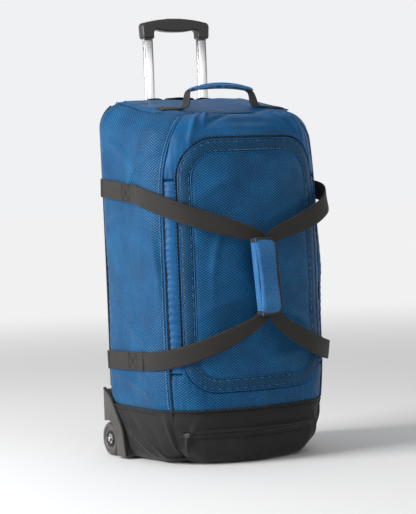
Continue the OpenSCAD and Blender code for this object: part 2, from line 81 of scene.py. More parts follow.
# Distances along the outline from the middle of the front
S_CROWN = CROWN_R * CROWN_A
S_CORNER = S_CROWN + FRONT_R * (math.pi / 2 - CROWN_A)
S_SIDE = S_CORNER + (BACK - BACK_R) - CORNER[1]
S_BACK = S_SIDE + BACK_R * math.pi / 2
S_END = S_BACK + HALF_W - BACK_R


def corner_s(degrees):
    """Distance along the outline to a place on the front corner's round."""
    return S_CROWN + FRONT_R * (math.radians(degrees) - CROWN_A)


S_SEAM = corner_s(55)
S_ZIP = corner_s(39)
S_LID = corner_s(math.degrees(math.asin((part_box("lid_border")[1].x - CORNER[0]) / FRONT_R)))
LID_TOP_R, LID_LOW_R = 0.080, 0.070
S_SEAM_TOP = corner_s(26)
S_BACK_SEAM = S_SIDE + BACK_R * math.asin((0.140 - BACK + BACK_R) / BACK_R)
GUSSET_LOW, GUSSET_HIGH = 0.190, LID_HIGH - LID_TOP_R
TOP_EDGE_Y = -0.103
TOP_ROLL = 0.058                # reach of the top cloth's rolled edge
TOP_BACK_Y = BACK - 0.028
SIDES = ((-1, "left"), (1, "right"))
CLOTH = 0.0018                  # thickness of the bag's cloth
SEAM_GAP = 0.0015


def unit(v):
    return v / (np.linalg.norm(v, axis=-1, keepdims=True) + 1e-12)


# --- the bag's surface --------------------------------------------------------------------------
def roof(y):
    return ROOF_BACK + (y - ROOF_Y) * ROOF_RISE


def plan(a):
    """Outline point and outward direction at distance a from the front's middle, on the +X side."""
    a = np.asarray(a, float)
    crown = a / CROWN_R
    turn = CROWN_A + (a - S_CROWN) / FRONT_R
    back = (a - S_SIDE) / BACK_R
    zone = [a < S_CROWN, a < S_CORNER, a < S_SIDE, a < S_BACK]
    x = np.select(zone, [CROWN_R * np.sin(crown), CORNER[0] + FRONT_R * np.sin(turn), HALF_W + 0 * a,
                         HALF_W - BACK_R + BACK_R * np.cos(back)], HALF_W - BACK_R - (a - S_BACK))
    y = np.select(zone, [CROWN_Y - CROWN_R * np.cos(crown), CORNER[1] - FRONT_R * np.cos(turn),
                         CORNER[1] + a - S_CORNER, BACK - BACK_R + BACK_R * np.sin(back)], BACK + 0 * a)
    nx = np.select(zone, [np.sin(crown), np.sin(turn), 1 + 0 * a, np.cos(back)], 0 * a)
    ny = np.select(zone, [-np.cos(crown), -np.cos(turn), 0 * a, np.sin(back)], 1 + 0 * a)
    return x, y, nx, ny


def shoulder(a):
    """Radius of the round between a wall and the roof."""
    return np.interp(a, [0, S_CROWN, S_CORNER, S_SIDE, S_BACK, S_END],
                     [0.060, 0.062, 0.060, 0.060, 0.050, 0.025])


def base_round(a):
    """Radius of the round between a wall and the underside."""
    return np.interp(a, [0, S_CROWN, S_SEAM, S_CORNER, S_SIDE, S_END],
                     [0.042, 0.050, 0.056, 0.040, 0.026, 0.020])


def shoulder_start(a):
    x, y, nx, ny = plan(a)
    r = shoulder(a)
    return roof(y - ny * r) - r


def over_top(a, depth):
    """How far up and over the wall a point lies that is depth inside the outline."""
    r = shoulder(a)
    start = shoulder_start(a)
    bent = start + r * np.arccos(np.clip(1 - depth / r, -1, 1))
    return np.where(depth < r, bent, start + r * math.pi / 2 + depth - r)


def bag(s, w, out=0.0):
    """Point at s round the outline and w up the wall and over the top, moved outwards by out."""
    s, w, out = np.broadcast_arrays(np.asarray(s, float), np.asarray(w, float), np.asarray(out, float))
    a = np.abs(s)
    side = np.where(s < 0, -1.0, 1.0)
    x, y, nx, ny = plan(a)
    r = shoulder(a)
    start = shoulder_start(a)
    up = np.clip((w - start) / r, 0, math.pi / 2)
    br = base_round(a)
    down = np.clip((br - w) / br, 0, math.pi / 2)
    past = np.maximum(w - start - r * math.pi / 2, 0)
    under = np.maximum(-w - br * (math.pi / 2 - 1), 0)
    z = np.clip(w, br, start) + r * np.sin(up) - br * np.sin(down)
    inward = r * (1 - np.cos(up)) + past + br * (1 - np.cos(down)) + under

    def lean(*values):
        return np.interp(a, [0, S_CROWN, S_SEAM, S_CORNER, S_SIDE, S_BACK, S_END][:len(values)], values)
    inward = inward + lean(0.003, 0.010, 0.022, 0.018, 0.003, 0, 0) * np.clip(1 - z / 0.20, 0, 1) ** 1.5
    inward = inward + lean(0.002, 0.008, 0.016, 0.014, 0) * np.clip(1 - z / 0.115, 0, 1)
    inward = inward + lean(0.004, 0.006, 0.012, 0.010, 0) * np.clip((z - 0.42) / 0.28, 0, 1) ** 2
    belly = np.interp(a, [0, S_CORNER, S_SIDE, S_BACK], [0.002, -0.001, -0.002, 0])
    inward = inward - belly * np.clip(np.sin(math.pi * np.clip((z - 0.05) / 0.65, 0, 1)), 0, 1)
    z = z + past * ny * ROOF_RISE
    flat = np.cos(up) * np.cos(down)
    rise = np.sin(up) - np.sin(down)
    px = side * (x + nx * (flat * out - inward))
    py = y + ny * (flat * out - inward)
    return np.stack([px, py, np.maximum(z + rise * out, 0.0004)], -1)


def frame_at(s, w, out=0.0, step=0.0015):
    """Point and outward normal."""
    p = bag(s, w, out)
    ds = unit(bag(np.asarray(s) + step, w, out) - bag(np.asarray(s) - step, w, out))
    dw = unit(bag(s, np.asarray(w) + step, out) - bag(s, np.asarray(w) - step, out))
    return p, unit(np.cross(ds, dw))


W_SEAM_END = float(over_top(S_SEAM_TOP, 0.0511))


def seam_s(w):
    """Where the side panel's front seam runs: straight up, then curving in over the shoulder."""
    t = np.clip((np.asarray(w, float) - 0.57) / (W_SEAM_END - 0.57), 0, 1)
    return S_SEAM - (S_SEAM - S_SEAM_TOP) * t ** 1.7


def top_depth(a):
    """How far inside the outline the top panel's edge lies."""
    x, y, nx, ny = plan(a)
    front = (y - TOP_EDGE_Y) / np.minimum(ny, -0.05)
    turn = np.degrees(CROWN_A + (a - S_CROWN) / FRONT_R)
    share = np.clip((90 - turn) / 64, 0, 1)
    corner = 0.040 + 0.0111 * share + 0.009 * np.sin(math.pi * share)
    back = np.interp(a, [S_SIDE, S_BACK_SEAM, S_BACK], [0.040, 0.034, 0.028])
    return np.where(a < S_SEAM_TOP, front, np.where(a < S_CORNER, corner, back))


# --- materials ----------------------------------------------------------------------------------
def new_material(name):
    material = bpy.data.materials.new(name)
    material.use_nodes = True
    tree = material.node_tree
    return material, tree, tree.nodes["Principled BSDF"]


def add_node(tree, kind, **values):
    node = tree.nodes.new(kind)
    for key, value in values.items():
        if hasattr(node, key):
            setattr(node, key, value)
        else:
            node.inputs[key].default_value = value
    return node


def feed(tree, socket, value):
    """Links a node's output to a socket, or sets the socket's own number or colour."""
    if isinstance(value, (int, float)):
        socket.default_value = value
    elif isinstance(value, tuple):
        socket.default_value = (*value, 1)
    else:
        tree.links.new(value, socket)


def set_shader(tree, shader, **values):
    for key, value in values.items():
        feed(tree, shader.inputs[key.replace("_", " ")], value)


def math_node(tree, operation, *values):
    node = add_node(tree, "ShaderNodeMath", operation=operation)
    for socket, value in zip(node.inputs, values):
        feed(tree, socket, value)
    return node.outputs[0]


def faded(tree, value, start, end):
    """A smooth step from one value to another; gives the node, for its own ends to be set."""
    node = add_node(tree, "ShaderNodeMapRange", interpolation_type="SMOOTHSTEP")
    set_shader(tree, node, Value=value, From_Min=start, From_Max=end)
    return node


def cloth_axes(tree):
    """The along and across coordinates of the cloth, in metres."""
    uv = add_node(tree, "ShaderNodeUVMap", uv_map="cloth")
    split = add_node(tree, "ShaderNodeSeparateXYZ")
    tree.links.new(uv.outputs[0], split.inputs[0])
    return uv.outputs[0], split.outputs[0], split.outputs[1]


def lines(tree, value, pitch, width):
    """1 on thin lines a pitch apart, falling to 0 between them."""
    swing = math_node(tree, "PINGPONG", math_node(tree, "DIVIDE", value, pitch), 0.5)
    edge = math_node(tree, "DIVIDE", swing, width)
    return math_node(tree, "SUBTRACT", 1.0, math_node(tree, "MINIMUM", edge, 1.0))


def mix_colour(tree, factor, a, b):
    node = add_node(tree, "ShaderNodeMix", data_type="RGBA")
    for slot, value in ((0, factor), (6, a), (7, b)):
        feed(tree, node.inputs[slot], value)
    return node.outputs[2]


def noise_at(tree, where, scale, detail=3.0, rough=0.6):
    node = add_node(tree, "ShaderNodeTexNoise")
    set_shader(tree, node, Scale=scale, Detail=detail, Roughness=rough, Vector=where)
    return node.outputs[0]


def bump(tree, shader, height, distance, strength=1.0):
    node = add_node(tree, "ShaderNodeBump")
    set_shader(tree, node, Strength=strength, Distance=distance, Height=height)
    tree.links.new(node.outputs[0], shader.inputs["Normal"])


def object_place(tree):
    return add_node(tree, "ShaderNodeTexCoord").outputs["Object"]


def cloth_material(name, colour, dark, light, ripstop=0.0, rough=0.46, sheen=0.03):
    """Woven cloth: heathered yarn, a fine plain weave, and a diamond rib where ripstop is given, whose dark
    lines are partly the weave's pattern and partly painted shade in the sunk ribs.
    """
    material, tree, shader = new_material(name)
    uv, along, across = cloth_axes(tree)
    do = partial(math_node, tree)
    yarn = noise_at(tree, uv, 420, 2, 0.7)
    patches = noise_at(tree, uv, 14, 3, 0.55)
    ramp = add_node(tree, "ShaderNodeValToRGB")
    ramp.color_ramp.elements.new(0.5)
    for stop, position, shade in zip(ramp.color_ramp.elements, (0.34, 0.5, 0.66), (dark, colour, light)):
        stop.position, stop.color = position, (*shade, 1)
    tree.links.new(do("ADD", do("MULTIPLY", yarn, 0.65), do("MULTIPLY", patches, 0.35)), ramp.inputs[0])
    base, gloss = ramp.outputs[0], 0.20
    thread = do("MULTIPLY", lines(tree, along, YARN, 0.5), lines(tree, across, YARN, 0.5))
    height = do("ADD", do("MULTIPLY", thread, 0.25), do("MULTIPLY", yarn, 0.35))
    if ripstop:
        tall = do("MULTIPLY", across, RIPSTOP_ASPECT)
        rib = do("MAXIMUM", *(lines(tree, do(way, along, tall), ripstop, 0.30)
                              for way in ("ADD", "SUBTRACT")))
        # Darkens the rib lines: partly the ripstop's own pattern, partly painted shade in the sunk lines.
        base = mix_colour(tree, do("MULTIPLY", rib, 0.85), base, tuple(c * 0.12 for c in colour))
        height = do("SUBTRACT", height, do("MULTIPLY", rib, 1.2))
        gloss = do("SUBTRACT", 0.32, do("MULTIPLY", rib, 0.30))
        shader.inputs["Specular IOR Level"].default_value = 0.30    # where the link is left out
    set_shader(tree, shader, Base_Color=base, Roughness=rough, Sheen_Weight=sheen, Sheen_Roughness=0.4,
               Specular_IOR_Level=gloss)
    bump(tree, shader, height, 0.00045, 0.8)
    return material


def webbing_material(name, colour, light):
    """Heavy webbing: ribs along its length and small herringbone picks across it."""
    material, tree, shader = new_material(name)
    uv, along, across = cloth_axes(tree)
    do = partial(math_node, tree)
    ribs = lines(tree, across, 0.0026, 0.5)
    picks = lines(tree, do("ADD", along, do("MULTIPLY", ribs, 0.0012)), 0.0016, 0.5)
    fuzz = noise_at(tree, uv, 500, 2, 0.7)
    weave = do("ADD", do("MULTIPLY", ribs, 0.6), do("MULTIPLY", picks, 0.5))
    tone = do("MULTIPLY", do("ADD", weave, fuzz), 0.5)
    set_shader(tree, shader, Base_Color=mix_colour(tree, tone, colour, light), Roughness=0.72,
               Sheen_Weight=0.06, Specular_IOR_Level=0.2)
    bump(tree, shader, do("ADD", weave, do("MULTIPLY", fuzz, 0.3)), 0.0006, 0.7)
    return material


def solid_material(name, colour, rough, metal=0.0, grain=900.0, depth=0.00008, worn=0.12, coat=0.0):
    """Moulded plastic, rubber or metal with a fine grain and slightly uneven gloss."""
    material, tree, shader = new_material(name)
    place = object_place(tree)
    fine = noise_at(tree, place, grain, 3, 0.6)
    broad = noise_at(tree, place, 22, 3, 0.5)
    light = tuple(min(1, c * (1 + worn) + 0.004) for c in colour)
    dark = tuple(c * (1 - worn) for c in colour)
    set_shader(tree, shader, Base_Color=mix_colour(tree, broad, dark, light), Metallic=metal,
               Coat_Weight=coat, Roughness=math_node(tree, "MULTIPLY_ADD", broad, 0.16, rough - 0.08))
    bump(tree, shader, fine, depth, 0.5)
    return material


def brushed_material(name, colour, rough):
    """Bright anodised tube, brushed along its length."""
    material, tree, shader = new_material(name)
    place = object_place(tree)
    stretch = add_node(tree, "ShaderNodeMapping")
    stretch.inputs["Scale"].default_value = (1400, 1400, 8)
    tree.links.new(place, stretch.inputs[0])
    streak = noise_at(tree, stretch.outputs[0], 1.0, 2, 0.6)
    dark, light = tuple(c * 0.92 for c in colour), tuple(min(1, c * 1.06) for c in colour)
    set_shader(tree, shader, Base_Color=mix_colour(tree, streak, dark, light), Metallic=1.0,
               Roughness=math_node(tree, "MULTIPLY_ADD", streak, 0.12, rough - 0.06))
    bump(tree, shader, streak, 0.00003, 0.4)
    return material


RIPSTOP = 0.0078                # width of a ripstop diamond
RIPSTOP_ASPECT = 1.45           # its width over its height
YARN = 0.0009                   # pitch of the plain weave
BLUE = (0.002, 0.092, 0.240)
BLUE_DARK = (0.001, 0.047, 0.145)
BLUE_LIGHT = (0.008, 0.172, 0.395)
NAVY = (0.002, 0.062, 0.155)
BLACK = (0.013, 0.013, 0.014)

MATERIALS = {
    "ripstop_blue": cloth_material("ripstop_blue", BLUE, BLUE_DARK, BLUE_LIGHT, ripstop=RIPSTOP),
    "smooth_blue": cloth_material("smooth_blue", (0.002, 0.070, 0.190), (0.001, 0.038, 0.122),
                                  (0.006, 0.112, 0.275)),
    "deep_blue": cloth_material("deep_blue", NAVY, (0.001, 0.036, 0.098), (0.005, 0.105, 0.235),
                                ripstop=RIPSTOP),
    "black_fabric": cloth_material("black_fabric", BLACK, (0.008, 0.008, 0.009), (0.024, 0.023, 0.023),
                                   rough=0.7, sheen=0.1),
    "lining": cloth_material("lining", (0.045, 0.047, 0.05), (0.03, 0.031, 0.034), (0.07, 0.072, 0.075),
                             rough=0.8),
    "webbing": webbing_material("webbing", (0.012, 0.0112, 0.0105), (0.032, 0.030, 0.028)),
    "zip_tape": webbing_material("zip_tape", (0.01, 0.01, 0.011), (0.03, 0.03, 0.032)),
    "zip_coil": solid_material("zip_coil", (0.035, 0.030, 0.028), 0.5),
    # Black thread, darker than the webbing it sews: the thread's own colour, darkened further as painted
    # shade of the sunk stitch lines.
    "thread": solid_material("thread", (0.006, 0.006, 0.006), 0.8),
    "blue_thread": solid_material("blue_thread", (0.20, 0.34, 0.46), 0.7),
    "zip_metal": solid_material("zip_metal", (0.12, 0.12, 0.125), 0.35, metal=1.0),
    "pull_rubber": solid_material("pull_rubber", (0.012, 0.012, 0.012), 0.55),
    "stiff_board": solid_material("stiff_board", (0.10, 0.10, 0.105), 0.6),
    "housing_plastic": solid_material("housing_plastic", (0.048, 0.043, 0.040), 0.48, grain=1500,
                                      depth=0.00015),
    "steel": solid_material("steel", (0.62, 0.61, 0.60), 0.28, metal=1.0),
    "tyre_rubber": solid_material("tyre_rubber", (0.035, 0.033, 0.032), 0.30, coat=0.3),
    "hub_plastic": solid_material("hub_plastic", (0.060, 0.054, 0.050), 0.42),
    "ring_black": solid_material("ring_black", (0.006, 0.006, 0.006), 0.4),
    "grip_plastic": solid_material("grip_plastic", (0.016, 0.015, 0.014), 0.34, grain=1500),
    "bright_tube": brushed_material("bright_tube", (0.82, 0.82, 0.83), 0.25),
    "heather_blue": cloth_material("heather_blue", (0.022, 0.120, 0.290), (0.008, 0.060, 0.170),
                                   (0.060, 0.210, 0.430), rough=0.7),
}


# --- mesh helpers -------------------------------------------------------------------------------
def mesh_object(name, verts, faces, uvs=None, smooth=True):
    mesh = bpy.data.meshes.new(name)
    mesh.from_pydata([tuple(v) for v in verts], [], faces)
    mesh.update()
    layer = mesh.uv_layers.new(name="cloth")
    if uvs is None:
        uvs = np.asarray(verts)[:, [0, 2]]
    index = np.zeros(len(mesh.loops), np.int32)
    mesh.loops.foreach_get("vertex_index", index)
    layer.data.foreach_set("uv", np.asarray(uvs, np.float32)[index].ravel())
    mesh.polygons.foreach_set("use_smooth", [smooth] * len(mesh.polygons))
    thing = bpy.data.objects.new(name, mesh)
    bpy.context.scene.collection.objects.link(thing)
    return thing


def points_of(thing):
    return np.array([v.co for v in thing.data.vertices])


def move_points(thing, co):
    thing.data.vertices.foreach_set("co", co.ravel().astype(np.float32))
    thing.data.update()
    return thing


def dress(thing, material, body, replaces=(), back=None):
    thing.data.materials.append(MATERIALS[material])
    if back:
        thing.data.materials.append(MATERIALS[back])
    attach(thing, body)
    if replaces:
        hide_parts(*replaces)
    return thing


def thicken(thing, thickness):
    """Gives a cloth its thickness, with the second material on its inner face."""
    solid = thing.modifiers.new("thickness", "SOLIDIFY")
    solid.thickness, solid.offset, solid.material_offset = thickness, -1, 1
    return thing


def grid_faces(nu, nv, flip=False, wrap=False):
    faces = []
    count = nu if wrap else nu + 1
    for j in range(nv):
        for i in range(nu):
            a = j * count + i
            b = j * count + (i + 1) % count
            quad = (a, b, b + count, a + count)
            faces.append(quad[::-1] if flip else quad)
    return faces


def sheet(name, p, across, along, flip=False, wrap=False):
    """A grid of points as a mesh, with its two cloth coordinates."""
    rows, columns = p.shape[:2]
    uvs = np.stack([across, along], -1).reshape(-1, 2)
    faces = grid_faces(columns if wrap else columns - 1, rows - 1, flip, wrap)
    return mesh_object(name, p.reshape(-1, 3), faces, uvs)


def unit_grid(nu, nv, start=0):
    return np.meshgrid(np.linspace(start, 1, nu + 1), np.linspace(0, 1, nv + 1))


def fractal(points, scale, seed, octaves=3):
    """Smooth noise about 0, one value a point; scale may differ along each axis."""
    where = np.asarray(points) * np.asarray(scale) + seed
    flat = where.reshape(-1, 3)
    values = [noise.fractal(Vector(p), 1.0, 2.0, octaves) for p in flat]
    return np.array(values).reshape(where.shape[:-1])


def panel(name, place, size, puff, side, folds, edge_dip=0.0015):
    """A sewn panel: place gives (s, w) over the unit square; it swells away from its seams."""
    a, b = unit_grid(*size)
    s, w = place(a, b)
    s = s * side
    p = bag(s, w)
    across = np.linalg.norm(np.diff(p, axis=1), axis=-1).sum(1)[:, None]
    along = np.linalg.norm(np.diff(p, axis=0), axis=-1).sum(0)[None, :]
    gap = np.minimum(np.minimum(a, 1 - a) * across, np.minimum(b, 1 - b) * along)
    out = puff * (1 - np.exp(-gap / 0.020)) - edge_dip * np.exp(-gap / 0.004) + folds(p, s, w, gap)
    return sheet(name, bag(s, w, out), s, w, flip=side < 0)


def walk(path):
    """Distance walked along a path at each of its points."""
    return np.concatenate([[0], np.cumsum(np.linalg.norm(np.diff(path, axis=0), axis=1))])


def tube(name, path, normals, wide, lift, round_way, closed_ends=True):
    """A tube along a path; wide and lift place its section's points across the path and out from it."""
    t = unit(np.gradient(path, axis=0))
    across = unit(np.cross(normals, t))
    out = np.cross(t, across)
    verts = path[:, None] + wide[..., None] * across[:, None] + lift[..., None] * out[:, None]
    uvs = np.stack(np.broadcast_arrays(walk(path)[:, None], round_way[None]), -1).reshape(-1, 2)
    count, last = wide.shape[1], len(path) - 1
    faces = grid_faces(count, last, wrap=True)
    if closed_ends:
        faces += [tuple(range(count))[::-1], tuple(last * count + k for k in range(count))]
    return mesh_object(name, verts.reshape(-1, 3), faces, uvs)


def sweep(name, path, normals, section, closed_ends=True):
    """A tube with one section (across, out) along a path; its normals are one direction or one a point."""
    round_way = np.cumsum(np.linalg.norm(np.diff(section, axis=0, append=section[:1]), axis=1))
    wide, lift = section.T[:, None]
    return tube(name, np.asarray(path, float), normals, wide, lift, round_way, closed_ends)


def round_section(r, count=10):
    angles = np.linspace(0, 2 * math.pi, count, endpoint=False)
    return np.stack([r * np.cos(angles), r * np.sin(angles)], -1)


def strap_section(width, thick, rows=8):
    """A flat strap's section with soft selvedges."""
    half = width / 2
    xs = np.linspace(-half, half, rows + 1)
    lift = thick / 2 * np.where(np.abs(xs) > half * 0.97, 0.55, 1.0)
    top = np.stack([xs, lift], -1)
    return np.concatenate([top, np.stack([xs, -lift], -1)[::-1]])[::-1]


def join(name, things):
    """Joins several objects into one."""
    bpy.ops.object.select_all(action="DESELECT")
    for thing in things:
        thing.select_set(True)
    bpy.context.view_layer.objects.active = things[0]
    if len(things) > 1:
        bpy.ops.object.join()
    things[0].name = name
    things[0].data.name = name
    return things[0]


def stitch_mesh(name, path, normals, length=0.0026, gap=0.0016, r=0.00050):
    """A row of short raised stitches along a path."""
    path = np.asarray(path, float)
    normals = np.broadcast_to(np.asarray(normals, float), path.shape)
    walked = walk(path)
    verts, faces = [], []
    for k in range(int(walked[-1] / (length + gap))):
        start = k * (length + gap)
        ends = []
        for at in (start, start + length / 2, start + length):
            p, n = (np.array([np.interp(at, walked, line[:, k]) for k in range(3)])
                    for line in (path, normals))
            ends.append((p, unit(n)))
        t = unit(ends[2][0] - ends[0][0])
        first = len(verts)
        for k, (p, n) in enumerate(ends):
            side = np.cross(n, t)
            high = r * (1.6 if k == 1 else 0.1)
            wide = r * (1.0 if k == 1 else 0.7)
            verts += [p - side * wide - n * r, p + side * wide - n * r, p + side * wide * 0.6 + n * high,
                      p - side * wide * 0.6 + n * high]
        for k in (first, first + 4):
            faces += [(k + e, k + (e + 1) % 4, k + 4 + (e + 1) % 4, k + 4 + e) for e in range(4)]
        faces += [(first + 3, first + 2, first + 1, first), (first + 8, first + 9, first + 10, first + 11)]
    return mesh_object(name, verts, faces, smooth=False)


# --- soft panels --------------------------------------------------------------------------------
def shared_noise(p, s, w, gap):
    """Slow waviness that runs on from panel to panel, so neighbours sag together."""
    return fractal(p, (8, 8, 6), 3.1, 4) * 0.0048 * np.clip(gap / 0.02, 0.20, 1)


FOLD = 1.7                      # how deep the drawn folds are


def creases(s, w, lines_at):
    """Sum of soft ridges; each is (s, w, angle in degrees, length, width, height)."""
    total = np.zeros(np.broadcast(s, w).shape)
    for cs, cw, angle, length, width, height in lines_at:
        c, q = math.cos(math.radians(angle)), math.sin(math.radians(angle))
        along = (s - cs) * c + (w - cw) * q
        off = -(s - cs) * q + (w - cw) * c + 0.12 * along * along / length
        total += FOLD * height * np.exp(-(along / length) ** 2 * 2) * np.exp(-(off / (0.8 * width)) ** 2)
    return total


def seam_puckers(gap, run, pitch=0.013, reach=0.014, height=0.0011):
    """Small gathers that run out from a stitched seam."""
    phase = 2 * math.pi * run / pitch + 1.7 * np.sin(run * 37)
    return height * np.sin(phase) * np.exp(-gap / reach) * (1 - np.exp(-gap / 0.004))


def side_bottom(s):
    """Lower edge of the side panel, which climbs over the wheel housing's top."""
    a = np.abs(s)
    y = CORNER[1] + a - S_CORNER
    return np.interp(y, [0.085, 0.108, 0.125, 0.175], [BASE_H, BASE_H + 0.004, 0.128, 0.148])


def side_place(a, b):
    s = S_SEAM + a * (S_BACK_SEAM - S_SEAM)
    for _ in range(5):
        low = side_bottom(s)
        w = low + b * (over_top(s, top_depth(s)) - low)
        s = seam_s(w) + a * (S_BACK_SEAM - seam_s(w))
    return s, w


def side_folds(p, s, w, gap):
    sag = shared_noise(p, s, w, gap)
    a = np.abs(s)
    pull = creases(a, w, [(S_CORNER + 0.02, 0.60, -35, 0.09, 0.010, 0.0030),
                          (S_CORNER + 0.06, 0.520, -12, 0.12, 0.016, 0.0030),
                          (S_CORNER + 0.02, 0.260, 28, 0.10, 0.012, 0.0028),
                          (S_CORNER + 0.08, 0.170, 12, 0.12, 0.012, 0.0028),
                          (S_SEAM + 0.020, 0.420, 82, 0.16, 0.012, 0.0030),
                          (S_CORNER + 0.11, 0.66, 20, 0.07, 0.012, 0.0026)])
    tuck = 0.0018 * sum(np.exp(-((w - height) / 0.024) ** 2) for height in (HIGH_STRAP, LOW_STRAP))
    return sag + pull - tuck + seam_puckers(gap, w, 0.017)


def gusset_place(a, b):
    w = GUSSET_LOW + b * (GUSSET_HIGH - GUSSET_LOW)
    return S_ZIP + a * (seam_s(w) - S_ZIP), w


def gusset_folds(p, s, w, gap):
    gather = 0.0012 * np.sin(2 * math.pi * w / 0.0135 + 2.2 * np.sin(w * 31)) * np.exp(-gap / 0.012)
    gather *= 1 - np.exp(-gap / 0.003)
    slow = fractal(p, (10, 10, 22), 8.4, 3) * 0.0022
    return gather + slow


def come_in(over, r):
    """How far a corner of radius r comes in at a distance past its start."""
    return r - np.sqrt(r ** 2 - np.clip(over, 0, r) ** 2)


def outline_rise(s):
    """How far the lid outline's top and bottom edges come in at a place across it."""
    return tuple(come_in(np.abs(s) - (S_LID - r), r) for r in (LID_TOP_R, LID_LOW_R))


def front_columns(a, edge):
    """Spreads columns over the front, with extra ones where the lid and zip begin."""
    stops = [0, 0.30, 0.50, 0.62, 0.70, 0.72, 0.735, 0.74, 1.0]
    past_zip = S_ZIP + 0.0006
    places = [0, S_LID - 0.08, S_LID - 0.035, S_LID - 0.008, S_LID, S_ZIP - 0.0004, S_ZIP, past_zip, S_SEAM]
    t = np.abs(a - 0.5) * 2
    base = np.interp(t, stops, places)
    beyond = np.clip((t - 0.74) / 0.26, 0, 1)
    start = np.minimum(past_zip, edge * 0.95)
    s = np.where(t > 0.74, start + beyond * (edge - start), base * start / past_zip)
    return s * np.sign(a - 0.5)


def upper_place(a, b):
    edge = np.full_like(a, S_SEAM)
    for _ in range(6):
        s = front_columns(a, edge)
        t = np.abs(s)
        high = over_top(t, np.where(t < S_SEAM_TOP, top_depth(t), top_depth(np.full_like(t, S_SEAM_TOP))))
        low = np.where(t <= S_LID, LID_HIGH - outline_rise(s)[0], GUSSET_HIGH) + SEAM_GAP
        w = low + b * (high - low)
        edge = seam_s(w)
    return s, w


def upper_folds(p, s, w, gap):
    pull = creases(s, w, [(-0.085, 0.735, 62, 0.05, 0.006, 0.0035),
                          (-0.060, 0.715, 30, 0.06, 0.008, -0.0030),
                          (0.080, 0.725, -50, 0.05, 0.007, 0.0030), (0.0, 0.700, 2, 0.12, 0.014, -0.0022),
                          (-0.125, 0.690, 70, 0.06, 0.007, 0.0030),
                          (0.130, 0.690, -72, 0.06, 0.008, 0.0030)])
    return shared_noise(p, s, w, gap) + pull + seam_puckers(gap, s, 0.015)


def lower_place(a, b):
    s = front_columns(a, np.full_like(a, S_SEAM))
    t = np.abs(s)
    beside = np.where(t < S_ZIP, LID_LOW + LID_LOW_R, GUSSET_LOW)
    high = np.where(t <= S_LID, LID_LOW + outline_rise(s)[1], beside) - SEAM_GAP
    return s, BASE_H + b * (high - BASE_H)


def plain_folds(p, s, w, gap):
    return shared_noise(p, s, w, gap) + seam_puckers(gap, s, 0.016)


def housing_front(w):
    """Front edge of the wheel housing, as a distance along the outline."""
    z = np.clip(w, 0, 0.2)
    y = np.interp(z, [0, 0.010, 0.050, 0.085, 0.110, 0.128], [0.059, 0.060, 0.070, 0.086, 0.106, 0.128])
    return S_CORNER + y - CORNER[1]


def base_place(a, b):
    s = (a * 2 - 1) * (S_CORNER + 0.10)
    for _ in range(4):
        low = -0.571 * base_round(np.abs(s)) - 0.030
        w = low + b * (BASE_H - low)
        s = (a * 2 - 1) * (housing_front(w) + 0.006)
    return s, w


def base_folds(p, s, w, gap):
    a = np.abs(s)
    pull = creases(a, w, [(S_CORNER + 0.040, 0.072, 38, 0.055, 0.006, 0.0045),
                          (S_CORNER + 0.015, 0.050, 52, 0.050, 0.006, 0.0040),
                          (S_CORNER + 0.075, 0.050, 24, 0.050, 0.006, 0.0040),
                          (S_SEAM + 0.010, 0.070, 78, 0.050, 0.008, 0.0040),
                          (S_SEAM - 0.035, 0.055, -64, 0.045, 0.007, 0.0030),
                          (S_CORNER + 0.095, 0.080, 60, 0.035, 0.005, 0.0035),
                          (0.05, 0.094, 3, 0.09, 0.005, 0.0018)])
    return shared_noise(p, s, w, gap) + pull


def back_place(a, b):
    t = a * 2 - 1
    reach = np.abs(t)
    s = S_END - reach * (S_END - S_BACK_SEAM)
    low = np.interp(s, [S_BACK_SEAM, S_BACK, S_BACK + 0.004], [0.148, 0.146, 0.113])
    w = low + b * (over_top(s, top_depth(s)) - low)
    return s, w


def make_back():
    """The back panel, pressed flat along the tube sleeves and quilted between them."""
    a, b = unit_grid(96, 130)
    s, w = back_place(a, b)
    side = np.where(a < 0.5, 1.0, -1.0)
    x = side * np.abs(bag(s, w)[..., 0])
    sleeve = np.exp(-((np.abs(x) - 0.065) / 0.020) ** 4) * 0.004
    quilt = 0.002 * np.abs(np.sin(math.pi * (w - 0.12) / 0.120)) ** 0.4
    seams = -0.0025 * sum(np.exp(-((np.abs(x) - at) / 0.003) ** 2) for at in (0.092, 0.038))
    out = 0.001 + sleeve + quilt * (np.abs(x) < 0.036) + seams
    p = bag(s * side, w, out)
    p += (fractal(p, (6, 6, 5), 5.2) * 0.0018)[..., None] * np.array([0, 1, 0])
    thing = dress(sheet("back_cloth", p, x, w), "black_fabric", "bag", ["back_panel"],
                  "lining")
    return thicken(thing, 0.002)


def cloth_panel(name, node, place, size, puff, material, folds, side=1):
    thing = panel(name, place, size, puff, side, folds)
    return thicken(dress(thing, material, "bag", [node], "lining"), CLOTH)


def make_panels():
    for side, word in SIDES:
        cloth_panel("side_cloth_" + word, "side_panel_" + word, side_place, (64, 150), 0.0035,
                    "ripstop_blue", side_folds, side)
        cloth_panel("gusset_cloth_" + word, "gusset_" + word, gusset_place, (12, 150), 0.0030,
                    "smooth_blue", gusset_folds, side)
    cloth_panel("upper_cloth", "upper_front_panel", upper_place, (120, 40), 0.0025,
                "smooth_blue", upper_folds)
    cloth_panel("lower_cloth", "lower_front_band", lower_place, (120, 16), 0.0015,
                "ripstop_blue", plain_folds)
    base = cloth_panel("base_cloth", "base_shell", base_place, (170, 34), 0.0020, "black_fabric", base_folds)
    base.data.materials[1] = MATERIALS["black_fabric"]
    co = points_of(base)
    co[:, :2] *= 1 - 0.055 * np.clip(1 - co[:, 2:] / 0.007, 0, 1)
    co[:, 2] = np.maximum(co[:, 2], 0.0006)
    move_points(base, co)
    make_back()


# --- top, underside and lining ------------------------------------------------------------------
def inset_half(y):
    """Half width of the top panel at each y."""
    a = np.linspace(S_SEAM_TOP, S_BACK, 200)
    x, py, nx, ny = plan(a)
    d = top_depth(a)
    xs, ys = x - nx * d, np.maximum.accumulate(py - ny * d)
    return np.interp(y, ys, xs)


